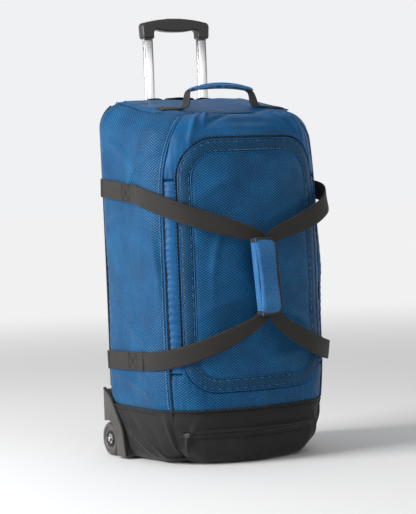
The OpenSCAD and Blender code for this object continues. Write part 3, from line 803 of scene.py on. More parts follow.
def top_gap(x, y):
    """How far inside the bag's outline a place on the roof lies."""
    corner = FRONT_R - np.hypot(np.abs(x) - CORNER[0], y - CORNER[1])
    rear_x, rear_y = HALF_W - BACK_R, BACK - BACK_R
    rear = BACK_R - np.hypot(np.maximum(np.abs(x) - rear_x, 0), np.maximum(y - rear_y, 0))
    front = np.where((y < CORNER[1]) & (np.abs(x) > CORNER[0]), corner, HALF_W - np.abs(x))
    return np.where((y > rear_y) & (np.abs(x) > rear_x), rear, front)


def roll_drop(x, y):
    """How far the top cloth's edge has rolled down where it turns over the bag's outline."""
    share = np.clip(1 - top_gap(x, y) / TOP_ROLL, 0, 1)
    return TOP_ROLL * (1 - np.sqrt(1 - share ** 2))


def make_top():
    u, v = unit_grid(66, 56, -1)
    y = TOP_EDGE_Y + v * (TOP_BACK_Y - TOP_EDGE_Y)
    x = u * inset_half(y)
    gap = np.minimum(np.minimum(inset_half(y) - np.abs(x), y - TOP_EDGE_Y), TOP_BACK_Y - y)
    puff = 0.0045 * (1 - np.exp(-gap / 0.03)) - 0.0036 * np.exp(-gap / 0.006)
    flat = np.stack([x, y, roof(y) + 0 * x], -1)
    waves = fractal(flat, (9, 7, 7), 6.6, 4) * 0.0045 * np.clip(gap / 0.02, 0.1, 1)
    slant = x + 0.35 * (y + 0.03) + 0.105
    ridge = 0.003 * np.exp(-(slant / 0.006) ** 2) * np.exp(-((y + 0.05) / 0.03) ** 2)
    ridge -= 0.0035 * np.exp(-((y + 0.082 + 0.06 * x) / 0.010) ** 2) * np.exp(-(x / 0.09) ** 4)
    hold = 0.0015 * np.exp(-((np.abs(x) - 0.125) / 0.03) ** 4) * np.exp(-((y + 0.035) / 0.018) ** 4)
    sag = 0.006 * np.exp(-(x / 0.075) ** 4) * np.clip((0.10 - y) / 0.12, 0, 1)
    z = roof(y) + puff + waves + ridge - hold - roll_drop(x, y) - sag * (1 - np.exp(-gap / 0.02))
    thing = sheet("top_cloth", np.stack([x, y, z], -1), x, y)
    return thicken(dress(thing, "smooth_blue", "bag", ["top_panel"], "lining"), CLOTH)


def make_underside():
    u, v = unit_grid(40, 36, -1)
    y = -0.108 + v * (BACK - 0.025 + 0.108)
    a = np.linspace(0, S_CORNER, 90)
    x, py, nx, ny = plan(a)
    half = np.where(y < CORNER[1], np.interp(y, py - ny * 0.064, x - nx * 0.064), HALF_W - 0.045)
    half = np.where(y > 0.066, 0.158, half)
    z = 0.0015 + 0.0015 * fractal(np.stack([u * half, y, 0 * y], -1), 9, 2.2)
    z = np.clip(z, 0.0006, None)
    thing = sheet("underside_cloth", np.stack([u * half, y, z], -1), u * half, y, flip=True)
    return dress(thing, "black_fabric", "bag", ["base_board"])


def make_lining():
    """One dark skin inside the walls, with the lid's opening left out."""
    s = np.unique(np.concatenate([np.linspace(-S_END, S_END, 130), [-S_ZIP, -S_LID, S_LID, S_ZIP]]))
    t = np.linspace(0, 1, 90)
    ss, tt = np.meshgrid(s, t)
    w = 0.012 + tt * (over_top(np.abs(ss), np.full_like(ss, 0.016)) - 0.012)
    p = bag(ss, w, -0.011)
    faces = []
    count = len(s)
    for j in range(len(t) - 1):
        for i in range(count - 1):
            cs = abs(s[i] + s[i + 1]) / 2
            cw = (w[j, i] + w[j + 1, i + 1]) / 2
            if cs < S_LID and LID_LOW < cw < LID_HIGH - outline_rise(np.array(cs))[0]:
                continue
            a = j * count + i
            faces.append((a, a + 1, a + count + 1, a + count))
    lining = mesh_object("bag_lining", p.reshape(-1, 3), faces, np.stack([ss, w], -1).reshape(-1, 2))
    u, v = unit_grid(19, 19, -1)
    for name, height in (("roof", None), ("floor", 0.012)):
        y = -0.110 + v * (0.136 + 0.110)
        half = np.where(y < CORNER[1], 0.135 + (y + 0.110) * 0.6, 0.165)
        half = half - 0.030 * np.clip((y - 0.090) / 0.046, 0, 1)
        z = roof(y) - 0.024 if height is None else np.full_like(y, height)
        lining = join("bag_lining", [lining, sheet("lining_" + name, np.stack([u * half, y, z], -1),
                                                   u * half, y)])
    return dress(lining, "lining", "bag")


# --- the lid ------------------------------------------------------------------------------------
def lid_outline(inset):
    """Closed path round the lid, inset from its edge, with outward directions, in (s, w)."""
    path, facing = [], []
    half, low, high = S_LID - inset, LID_LOW + inset, LID_HIGH - inset
    for cx, cw, r, start in ((1, high, LID_TOP_R - inset, 0), (-1, high, LID_TOP_R - inset, 90),
                             (-1, low, LID_LOW_R - inset, 180), (1, low, LID_LOW_R - inset, 270)):
        centre = np.array([cx * (half - r), cw - r if cw == high else cw + r])
        for k in range(17):
            angle = math.radians(start + 90 * k / 16)
            d = np.array([math.cos(angle), math.sin(angle)])
            path.append(centre + r * d)
            facing.append(d)
    path, facing = np.array(path), np.array(facing)
    out_p, out_f = [], []
    for k in range(len(path)):
        q = (k + 1) % len(path)
        length = np.linalg.norm(path[q] - path[k])
        pieces = max(1, int(round(length / 0.006)))
        for step in range(pieces):
            t = step / pieces
            out_p.append(path[k] * (1 - t) + path[q] * t)
            out_f.append(facing[k] * (1 - t) + facing[q] * t)
    return np.array(out_p), np.array(out_f)


def lid_swell(s, w):
    """The lid's own soft shape: full in the middle, with slack folds across it."""
    x = np.clip(1 - (np.abs(s) / S_LID) ** 2, 0, 1)
    z = np.clip(np.sin(math.pi * (w - LID_LOW) / (LID_HIGH - LID_LOW)), 0, 1)
    p = np.stack([s, s * 0, w], -1)
    slow = fractal(p, (8, 1, 11), 12.3, 4) * 0.0060 * np.sqrt(x * z + 0.05)
    pull = creases(s, w, [(-0.070, 0.575, 24, 0.085, 0.014, 0.0032),
                          (0.060, 0.610, -16, 0.08, 0.012, 0.0030),
                          (-0.060, 0.480, -30, 0.080, 0.012, 0.0034),
                          (0.075, 0.520, 24, 0.07, 0.012, 0.0030),
                          (-0.075, 0.330, 14, 0.085, 0.013, 0.0034),
                          (0.070, 0.300, -20, 0.08, 0.012, 0.0034),
                          (-0.050, 0.245, -12, 0.10, 0.012, 0.0030), (0.045, 0.215, 10, 0.09, 0.010, 0.0030),
                          (-0.095, 0.420, 80, 0.11, 0.010, 0.0026), (0.010, 0.645, 4, 0.10, 0.010, 0.0020)])
    return 0.004 * x * z + slow + pull


def make_lid():
    ring, facing = lid_outline(0.0)
    rows = 6
    depth = np.linspace(0, 1, rows + 1)[:, None, None]
    at = ring[None] * (1 - depth) + (ring - facing * BORDER)[None] * depth
    s, w = at[..., 0], at[..., 1]
    gap = BORDER * np.minimum(depth, 1 - depth)[..., 0] + 0 * s
    run = np.cumsum(np.linalg.norm(np.diff(ring, axis=0, append=ring[:1]), axis=1))[None] + 0 * s
    out = 0.0015 * (1 - np.exp(-gap / 0.008)) - 0.0012 * np.exp(-gap / 0.003) + 0.5 * lid_swell(s, w)
    out += 0.0014 * np.sin(2 * math.pi * run / 0.017 + 1.5 * np.sin(run * 23)) * np.exp(-(gap / 0.010))
    border = sheet("lid_border_cloth", bag(s, w, out + 0.0015), s, w, wrap=True)
    thicken(dress(border, "deep_blue", "lid", ["lid_border"], "lining"), CLOTH)

    top_r, low_r = LID_TOP_R - BORDER, LID_LOW_R - BORDER
    low, high, half = LID_LOW + BORDER, LID_HIGH - BORDER, S_LID - BORDER
    bend = np.linspace(0, math.pi / 2, 9)
    rows_w = np.unique(np.concatenate([low + low_r * (1 - np.cos(bend)),
                                       np.linspace(low + low_r, high - top_r, 84),
                                       high - top_r + top_r * np.sin(bend)]).round(6))
    reach = half - come_in(rows_w - (high - top_r), top_r) - come_in(low + low_r - rows_w, low_r)
    u = np.linspace(-1, 1, 61)
    s = u[None] * reach[:, None]
    w = np.repeat(rows_w[:, None], 61, 1)
    gap = np.minimum(np.minimum(reach[:, None] - np.abs(s), w - low), high - w)
    out = 0.0030 * (1 - np.exp(-gap / 0.02)) - 0.0012 * np.exp(-gap / 0.004) + lid_swell(s, w)
    out += seam_puckers(gap, w + s, 0.015, 0.014, 0.0009)
    centre = sheet("lid_centre_cloth", bag(s, w, out + 0.0015), s, w)
    thicken(dress(centre, "ripstop_blue", "lid", ["lid_centre"], "lining"), CLOTH)
    welt = sweep("lid_seam_welt", *lid_line(BORDER - 0.0005, 0.0010), round_section(0.0014, 8), False)
    dress(welt, "smooth_blue", "lid", ["lid_piping"])
    rows = [stitch_mesh("lid_stitch", *lid_line(inset, 0.0013)) for inset in (BORDER - 0.0050, 0.0055)]
    dress(join("lid_stitching", rows), "blue_thread", "lid")
    binding = sweep("lid_edge_binding", *lid_line(0.0008, 0.0005), round_section(0.0016, 8), False)
    dress(binding, "smooth_blue", "lid")


def lid_line(inset, lift):
    """A closed line round the lid on its cloth, with outward normals."""
    ring, facing = lid_outline(inset)
    s, w = ring[:, 0], ring[:, 1]
    p, n = frame_at(s, w, lid_swell(s, w) * (0.75 if inset > BORDER / 2 else 0.5) + lift)
    keep = np.append(np.arange(len(p)), 0)
    return p[keep], n[keep]


# --- piping, zips and stitching -----------------------------------------------------------------
def make_piping():
    for side, word in SIDES:
        w = np.linspace(BASE_H + 0.002, W_SEAM_END, 130)
        line = frame_at(side * seam_s(w), w, 0.0014)
        dress(sweep("seam_welt_" + word, *line, round_section(0.0022)), "smooth_blue", "bag",
              ["seam_piping_" + word])
        # A black strip laid just in front of the piping is painted shade: it stands for the shadow in the
        # seam's groove.
        w = np.linspace(BASE_H + 0.002, 0.590, 110)
        painted_shade_path = frame_at(side * (seam_s(w) - 0.0032), w, np.interp(w, [0.56, 0.59], [0.0012, -0.0010]))
        dress(sweep("seam_painted_shade_" + word, *painted_shade_path, strap_section(0.0030, 0.0012, 2)), "black_fabric", "bag")
        w = np.linspace(0.150, float(over_top(S_BACK_SEAM, 0.024)), 110)
        line = frame_at(side * np.full_like(w, S_BACK_SEAM), w, 0.0018)
        dress(sweep("back_welt_" + word, *line, round_section(0.0030)), "black_fabric", "bag",
              ["back_piping_" + word])
        w = np.linspace(BASE_H + 0.006, W_SEAM_END - 0.02, 160)
        line = frame_at(side * (seam_s(w) + 0.0065), w, 0.0028)
        dress(stitch_mesh("seam_stitching_" + word, *line), "blue_thread", "bag")
    p = top_edge_line(0.0010)
    p[:, 2] -= roll_drop(p[:, 0], p[:, 1])
    dress(sweep("top_welt", p, ROOF_NORMAL, round_section(0.0016, 8)), "smooth_blue", "bag")
    reach = float(housing_front(0.113)) + 0.004
    s = np.linspace(-reach, reach, 320)
    line = frame_at(s, np.full_like(s, BASE_H), 0.0008)
    dress(sweep("base_welt", *line, round_section(0.0020)), "black_fabric", "bag")
    # A thin black cord down each base seam is painted shade of the seam's groove.
    for side, word in SIDES:
        w = np.linspace(-0.020, BASE_H, 60)
        line = frame_at(np.full_like(w, side * S_SEAM), w, 0.0024)
        dress(sweep("base_seam_painted_shade_" + word, *line, round_section(0.0012, 8)), "thread", "bag")
    line = frame_at(s, np.full_like(s, BASE_H - 0.0075), 0.0022)
    dress(stitch_mesh("base_stitching", *line), "thread", "bag")


def top_edge_line(lift):
    """The closed seam round the top panel."""
    y = np.linspace(CORNER[1], TOP_EDGE_Y, 24)
    x = inset_half(y)
    rear = np.linspace(TOP_BACK_Y - 0.014, CORNER[1], 60)[:-1]
    right = list(zip(inset_half(rear), rear)) + list(zip(x, y))
    front = [(v, TOP_EDGE_Y) for v in np.linspace(x[-1], -x[-1], 30)[1:-1]]
    path = np.array(right + front + [(-px, py) for px, py in right[::-1]])
    return np.column_stack([path, roof(path[:, 1]) + lift])


def zip_path():
    """The main zip's run: up one side of the lid, over its top and down the other."""
    ring, facing = lid_outline(0.0)
    keep = ring[:, 1] > LID_LOW + LID_LOW_R + 0.002
    start = int(np.argmax(keep & ~np.roll(keep, 1)))
    order = [(start + k) % len(ring) for k in range(int(keep.sum()))]
    return ring[order], facing[order]


POCKET_W, POCKET_REACH = 0.067, 0.184


def make_zips():
    ring, facing = zip_path()

    def beside(gap, lift):
        return frame_at(*(ring + facing * gap).T, lift)
    tape = sweep("zip_tape", *beside(0.0022, -0.0006), strap_section(0.0085, 0.0010, 4))
    dress(tape, "zip_tape", "bag", ["main_zip"])
    coil = stitch_mesh("zip_coil_main", *beside(0.0020, 0.0009), 0.0012, 0.0008, 0.0008)
    dress(coil, "zip_coil", "bag")
    flap = sweep("zip_flap_edge", *beside(0.0048, 0.0012), round_section(0.0012, 8))
    dress(flap, "deep_blue", "bag")
    s = np.linspace(-POCKET_REACH, POCKET_REACH, 200)
    w = np.full_like(s, POCKET_W)
    welt = sweep("pocket_welt", *frame_at(s, w, 0.0022), strap_section(0.0125, 0.0030, 6))
    dress(welt, "zip_tape", "bag", ["pocket_zip"])
    for way, word in ((1, "high"), (-1, "low")):
        lip = sweep("pocket_lip_" + word, *frame_at(s, w + way * 0.0062, 0.0034), round_section(0.0016, 8))
        dress(lip, "black_fabric", "bag")
    coil = stitch_mesh("pocket_coil", *frame_at(s, w, 0.0042), 0.0013, 0.0008, 0.0010)
    dress(coil, "zip_metal", "bag")
    for way in (1, -1):
        row = stitch_mesh("pocket_stitch_%d" % (way * 125), *frame_at(s, w + way * 0.0125, 0.0026))
        dress(row, "thread", "bag")


def rework(thing, change):
    """Opens a mesh for a change to its faces and closes it again."""
    bm = bmesh.new()
    bm.from_mesh(thing.data)
    change(bm)
    bm.to_mesh(thing.data)
    bm.free()


def shade(thing, degrees):
    for polygon in thing.data.polygons:
        polygon.use_smooth = True
    thing.data.set_sharp_from_angle(angle=math.radians(degrees))
    return thing


def soften(thing, width, segments=3, sharp=35):
    """Bevels the hard edges of a mesh and shades it smooth between them."""
    def change(bm):
        bmesh.ops.remove_doubles(bm, verts=bm.verts, dist=1e-6)
        bmesh.ops.recalc_face_normals(bm, faces=bm.faces)
        edges = [e for e in bm.edges if len(e.link_faces) == 2 and e.calc_face_angle() > math.radians(sharp)]
        bmesh.ops.bevel(bm, geom=edges, offset=width, segments=segments, profile=0.6, affect="EDGES",
                        clamp_overlap=True)
    rework(thing, change)
    return shade(thing, 50)


def slab(name, outline, axis, low, high, bevel, segments=3):
    """A bevelled plate: the outline drawn in the plane across the axis, from low to high along it."""
    order = {"x": (1, 2, 0), "y": (0, 2, 1), "z": (0, 1, 2)}[axis]
    verts = np.zeros((2 * len(outline), 3))
    verts[:, order[:2]] = np.tile(outline, (2, 1))
    verts[:, order[2]] = np.repeat([low, high], len(outline))
    count = len(outline)
    faces = [tuple(range(count))[::-1], tuple(range(count, 2 * count))]
    faces += [(k, (k + 1) % count, count + (k + 1) % count, count + k) for k in range(count)]
    return soften(mesh_object(name, verts, faces), bevel, segments)


def cut_away(body, outline, axis, low, high):
    """Cuts a slab-shaped hole in a body."""
    cutter = slab("cutter", outline, axis, low, high, 0.00001, 1)
    cut = body.modifiers.new("cut", "BOOLEAN")
    cut.operation, cut.object, cut.solver = "DIFFERENCE", cutter, "EXACT"
    bpy.context.view_layer.objects.active = body
    bpy.ops.object.modifier_apply(modifier="cut")
    bpy.data.objects.remove(cutter)


def rectangle(low, high):
    return [(low.x, low.y), (high.x, low.y), (high.x, high.y), (low.x, high.y)]


def np_box(node):
    return (np.array(v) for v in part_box(node))


def rounded(points, radii, steps=6):
    """Rounds the corners of an outline."""
    out = []
    count = len(points)
    for k in range(count):
        p = np.array(points[k], float)
        a = np.array(points[k - 1], float) - p
        b = np.array(points[(k + 1) % count], float) - p
        la, lb = np.linalg.norm(a), np.linalg.norm(b)
        angle = math.acos(np.clip(a @ b / la / lb, -1, 1))
        cut = min(radii[k] / math.tan(angle / 2), la * 0.49, lb * 0.49)
        p0, p1 = p + a / la * cut, p + b / lb * cut
        for t in np.linspace(0, 1, steps + 1):
            out.append(tuple((1 - t) ** 2 * p0 + 2 * t * (1 - t) * p + t * t * p1))
    return out


def fit_to(thing, node):
    """Moves and scales a mesh so that its box is the CAD node's box."""
    low, high = np_box(node)
    co = points_of(thing)
    lo, hi = co.min(0), co.max(0)
    return move_points(thing, low + (co - lo) / np.maximum(hi - lo, 1e-9) * (high - low))


def onto_cloth(thing, node):
    """Moves the pocket zip's slider or pull straight in to the cloth, which leans in below its CAD surface;
    the main zip's pieces stay where they are.
    """
    if node.startswith("pocket"):
        co = points_of(thing)
        middle = (co.min(0) + co.max(0)) / 2
        s = np.linspace(-0.24, 0.24, 481)
        cloth = bag(s, np.full_like(s, POCKET_W), 0.003)
        wall = bag(s, np.full_like(s, 0.300), 0.003)
        near = int(np.argmin(np.hypot(wall[:, 0] - middle[0], wall[:, 1] - middle[1])))
        step = cloth[near] - wall[near]
        thing.data.transform(Matrix.Translation((step[0], step[1], 0)))
    return thing


def make_sliders():
    for zip_name in ("main", "pocket"):
        node = zip_name + "_zip_slider"
        shape = rounded([(-3, 0), (3, 0), (5, 10), (2, 14), (-2, 14), (-5, 10)], [1, 1, 2, 2, 2, 2])
        thing = slab(node + "_metal", shape, "y", 0, 6, 0.9)
        thing.data.transform(Matrix.Scale(0.001, 4))
        dress(onto_cloth(fit_to(thing, node), node), "zip_metal", zip_name + "_slider", [node])
    for zip_name in ("main", "pocket"):
        node = zip_name + "_zip_pull"
        path = [(0, 0, 0), (0, -0.4, -6), (0, -0.8, -12), (0, -0.4, -22), (0, 0, -32)]
        pieces = [sweep("pull_cord", path, (0, -1, 0), round_section(1.3))]
        for z in (-14, -18, -22, -26):
            ring = [(0, -0.5, z), (0, -0.5, z - 2.4)]
            pieces.append(sweep("pull_rib", ring, (0, -1, 0), round_section(2.3, 14)))
        thing = join(node + "_rubber", pieces)
        dress(onto_cloth(fit_to(thing, node), node), "pull_rubber", zip_name + "_pull",
              [node])


# --- straps -------------------------------------------------------------------------------------
STRAP_W, STRAP_T = 0.039, 0.0022
STRAP_OFF = 0.0050              # from the bag's side to the middle of a strap on it
HIGH_STRAP, LOW_STRAP = 0.563, 0.211


def bezier(points, t):
    p = [np.array(q, float) for q in points]
    u = 1 - t
    return u ** 3 * p[0] + 3 * u * u * t * p[1] + 3 * u * t * t * p[2] + t ** 3 * p[3]


def haul_line(side, out, slack, y):
    """Centre line of one haul strap's free part, from the upper anchor round the wrap to the lower one."""
    x = HALF_W + STRAP_OFF
    ahead = -0.120 - 0.9 * out
    over = [(x - 0.0004, -0.040, strap_height(HIGH_STRAP, -0.04)), (x + 0.8 * out, ahead, 0.538),
            (0.130, y + 0.010, 0.490), (0.003, y, 0.461)]
    under = [(x - 0.0004, -0.040, strap_height(LOW_STRAP, -0.04)), (x + 0.2 * out, ahead, LOW_STRAP + 0.002),
             (0.125, y + 0.010 - slack / 2, 0.232 - slack), (0.003, y, 0.301)]
    t = np.linspace(0, 1, 50)
    upper = np.array([bezier(over, v) for v in t])
    lower = np.array([bezier(under, v) for v in t])[::-1]
    middle = np.array([(0.003, y, z) for z in np.linspace(0.445, 0.317, 24)])
    path = np.concatenate([upper, middle, lower])
    path[:, 0] *= side
    return smooth_line(path, 6)


def smooth_line(path, rounds):
    for _ in range(rounds):
        path[1:-1] = path[1:-1] * 0.5 + (path[:-2] + path[2:]) * 0.25
    return path


def strap_mesh(name, path, normals, width, thick, wave=0.0006, pinch=None, cup=None):
    """A strap along a path; pinch scales its width and cup curls its edges outwards along the way."""
    section = strap_section(1.0, 1.0, 10)
    pinch = np.ones(len(path)) if pinch is None else pinch
    cup = np.zeros(len(path)) if cup is None else cup
    wide = section[None, :, 0] * width * pinch[:, None]
    lift = section[None, :, 1] * thick + cup[:, None] * (section[None, :, 0] * 2) ** 2 * width / 2
    lift = lift + wave * np.sin(walk(path)[:, None] * 55 + section[None, :, 0] * 2.5)
    return tube(name, path, normals, wide, lift, section[:, 0] * width)


def box_stitch(name, y0, y1, z, half, x, side):
    """A box with a cross in it, stitched through a strap that lies on the bag's side."""
    corners = [(y0, z - half), (y1, z - half), (y1, z + half), (y0, z + half), (y0, z - half),
               (y1, z + half), (y1, z - half), (y0, z + half)]
    pieces = []
    for (ya, za), (yb, zb) in zip(corners[:-1], corners[1:]):
        t = np.linspace(0, 1, 12)
        p = np.column_stack([np.full(12, side * x), ya + (yb - ya) * t, za + (zb - za) * t])
        pieces.append(stitch_mesh("x", p, (side, 0, 0)))
    return join(name, pieces)


def strap_height(z, y):
    """Height of a strap's middle along the side: the upper one falls to the front, the lower one rises."""
    slope = 0.105 if z > 0.4 else -0.035
    return z + (y - 0.037) * slope


def make_straps():
    for side, word, out, slack, y in ((-1, "left", 0.012, 0.0, -0.2136),
                                      (1, "right", 0.042, 0.026, -0.2184)):
        pieces, rows = [], []
        for z in (HIGH_STRAP, LOW_STRAP):
            ys = np.linspace(0.1260, -0.0495, 40)
            x = HALF_W + STRAP_OFF - 0.0035 * np.exp(-(0.126 - ys) / 0.012)
            path = np.column_stack([side * x, ys, strap_height(z, ys)])
            pieces.append(strap_mesh("anchor", path, (side, 0, 0), STRAP_W, STRAP_T, wave=0.0002))
            # The stitches' black thread is partly their own colour and partly painted shade of the sunk
            # stitch lines.
            rows.append(box_stitch("box", -0.020, 0.016, strap_height(z, 0.0), 0.0160, HALF_W + 0.0066,
                                   side))
            for edge in (0.112, 0.118):
                p = [(side * (HALF_W + 0.0058), edge, strap_height(z, edge) + v)
                     for v in np.linspace(-0.017, 0.017, 14)]
                rows.append(stitch_mesh("bar", p, (side, 0, 0)))
        dress(join("strap_anchors_" + word + "_web", pieces), "webbing", "bag",
              ["strap_anchors_" + word])
        dress(join("anchor_stitching_" + word, rows), "thread", "bag")
        path = haul_line(side, out, slack, y)
        facing = np.column_stack([path[:, 0] / HALF_W ** 2, (path[:, 1] + 0.020) / 0.195 ** 2,
                                  0 * path[:, 0]])
        facing = unit(facing)
        share = np.linspace(0, 1, len(path))
        grip_zone = np.exp(-((share - 0.5) / 0.16) ** 4)
        pinch = 1 - 0.42 * grip_zone
        cup = 0.18 * grip_zone * (1 if side > 0 else -0.5)
        facing[:, 2] += 0.35 * np.sin(math.pi * share * 2) * np.sin(math.pi * share)
        strap = strap_mesh("haul_strap_%s_web" % word, path, facing, STRAP_W, STRAP_T, 0.0008, pinch, cup)
        dress(strap, "webbing", "bag", ["haul_strap_" + word])
        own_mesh(strap)


# --- stuffed pieces -----------------------------------------------------------------------------
SWELL = 0.004                   # the most a stuffed face moves out


def stuffed(name, outline_box, pressure, cells, round_by, frames=20):
    """A flat closed pad, blown up a little as cloth so that its faces wrinkle and its edges stay sewn."""
    (x0, y0, z0), (x1, y1, z1) = outline_box
    nx, nz = cells
    u, v = unit_grid(nx, nz)
    verts, faces = [], []
    for y in (y0, y1):
        first = len(verts)
        for a, b in zip(u.ravel(), v.ravel()):
            edge = min(a * (x1 - x0), (1 - a) * (x1 - x0), b * (z1 - z0), (1 - b) * (z1 - z0))
            inset = round_by * (1 - math.sqrt(max(0, 1 - max(0, 1 - edge / round_by) ** 2)))
            verts.append((x0 + a * (x1 - x0), y + (inset if y == y0 else -inset), z0 + b * (z1 - z0)))
        for q in grid_faces(nx, nz, flip=(y == y1)):
            faces.append(tuple(first + k for k in q))
    row = nx + 1
    offset = row * (nz + 1)
    rim = list(range(row)) + [row * (j + 1) + nx for j in range(nz)]
    rim += [row * nz + i for i in range(nx - 1, -1, -1)] + [row * j for j in range(nz - 1, 0, -1)]
    for k in range(len(rim)):
        a, b = rim[k], rim[(k + 1) % len(rim)]
        faces.append((b, a, a + offset, b + offset))
    thing = mesh_object(name, verts, faces)
    start = points_of(thing)
    cloth = thing.modifiers.new("cloth", "CLOTH")
    for key, value in dict(use_pressure=True, uniform_pressure_force=pressure, tension_stiffness=8,
                           compression_stiffness=4, bending_stiffness=0.4, shrink_min=-0.04).items():
        setattr(cloth.settings, key, value)
    cloth.settings.effector_weights.gravity = 0
    cloth.point_cache.frame_start, cloth.point_cache.frame_end = 1, frames
    scene = bpy.context.scene
    for frame_number in range(1, frames + 1):
        scene.frame_set(frame_number)
    moved = points_of(thing.evaluated_get(bpy.context.evaluated_depsgraph_get()))
    thing.modifiers.clear()
    scene.frame_set(1)
    step = moved - start
    size = np.linalg.norm(step, axis=1, keepdims=True)
    move_points(thing, start + step * np.minimum(1, SWELL / np.maximum(size, 1e-9)))
    return thing


def dress_wrap(thing, material, body, replaces=()):
    """Leans a wrap piece as the straps pull it, dresses it, and gives it a mesh of its own."""
    co = points_of(thing)
    co[:, 0] += 0.075 * (0.381 - co[:, 2])
    dress(move_points(thing, co), material, body, replaces)
    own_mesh(thing)
    return thing


WRAP_CELLS, WRAP_ROUND = (22, 50), 0.0016
WRAP_BOW = 0.0035


def make_wrap():
    """The padded wrap round the two haul straps, bound in black at its edges."""
    flap_low, flap_high = np_box("wrap_flap")
    flap_low[0] += 0.001
    flap_high[0] -= 0.006
    flap = stuffed("wrap_flap_pad", (flap_low, flap_high), 2.5, WRAP_CELLS, WRAP_ROUND)
    co = points_of(flap)
    r = 0.014                   # round of the flap's free corners
    for k, p in enumerate(co):
        for centre_z, up in ((flap_high[2] - r, 1), (flap_low[2] + r, -1)):
            dx, dz = p[0] - (flap_high[0] - r), (p[2] - centre_z) * up
            if dx > 0 and dz > 0:
                big, far = max(dx, dz), math.hypot(dx, dz)
                co[k, 0] = flap_high[0] - r + dx * big / far
                co[k, 2] = centre_z + up * dz * big / far
    co[:, 1] += WRAP_BOW * np.clip((co[:, 0] - flap_low[0]) / (flap_high[0] - flap_low[0]), 0, 1) ** 2
    dress_wrap(move_points(flap, co), "heather_blue", "wrap_cover", ["wrap_flap"])
    y_mid = (flap_low[1] + flap_high[1]) / 2
    x0, x1, z0, z1 = flap_low[0], flap_high[0] - 0.0022, flap_low[2] + 0.0022, flap_high[2] - 0.0022
    turns = [(r * math.sin(t), r * math.cos(t)) for t in np.linspace(0.1, 1.5, 12)]
    outline = [(x0, z1), (x1 - r, z1)] + [(x1 - r + u, z1 - r + v) for u, v in turns]
    outline += [(x1, z) for z in np.linspace(z1 - r, z0 + r, 20)]
    outline += [(x1 - r + v, z0 + r - u) for u, v in turns] + [(x1 - r, z0), (x0, z0)]
    path = [(x, y_mid + WRAP_BOW * ((x - x0) / (x1 - x0)) ** 2, z) for x, z in outline]
    edge = sweep("wrap_flap_binding", path, (0, -1, 0), rounded_section(0.0105, 0.0062))
    dress_wrap(edge, "webbing", "wrap_cover")
    z = np.linspace(z0 + 0.012, z1 - 0.012, 40)
    line = np.column_stack([np.full_like(z, x0 + 0.014), np.full_like(z, flap_low[1] - 0.0004), z])
    dress_wrap(stitch_mesh("wrap_stitching", line, (0, -1, 0)), "thread", "wrap_cover")
    low, high = np_box("wrap_back")
    x_low, middle = low[0] + 0.0035, (low + high) / 2
    back = stuffed("wrap_back_pad", ((x_low, high[1] - 0.004, low[2]), high), 1.5, WRAP_CELLS, WRAP_ROUND)
    dress_wrap(back, "heather_blue", "bag", ["wrap_back"])
    t = np.linspace(math.pi * 0.5, math.pi * 1.5, 16)
    spine = np.column_stack([x_low + 0.0035 * np.cos(t), middle[1] - 0.0005
                             + (high[1] - low[1] - 0.002) / 2 * np.sin(t), np.full(16, middle[2])])
    normals = np.column_stack([np.cos(t), np.sin(t), 0 * t])
    wall = sweep("wrap_spine_cloth", spine, normals, strap_section(high[2] - low[2], 0.0024, 30))
    dress_wrap(wall, "heather_blue", "bag")
    edges = []
    for z in (low[2] + 0.003, high[2] - 0.003):
        path = np.concatenate([[(high[0], high[1] - 0.002, z)], spine * [1, 1, 0] + [0, 0, z]])
        facing = np.concatenate([[(0, 1.0, 0)], normals])
        edges.append(sweep("edge", path, facing, rounded_section(0.0085, 0.0056)))
    dress_wrap(join("wrap_back_binding", edges), "webbing", "bag")


def rounded_section(width, thick, count=14):
    """A flattened oval section."""
    t = np.linspace(0, 2 * math.pi, count, endpoint=False)
    c, s = np.cos(t), np.sin(t)
    x, y = np.sign(c) * np.abs(c) ** 0.5, np.sign(s) * np.abs(s) ** 0.7
    return np.stack([width / 2 * x, thick / 2 * y], -1)


TOP_HANDLE_Y = -0.047


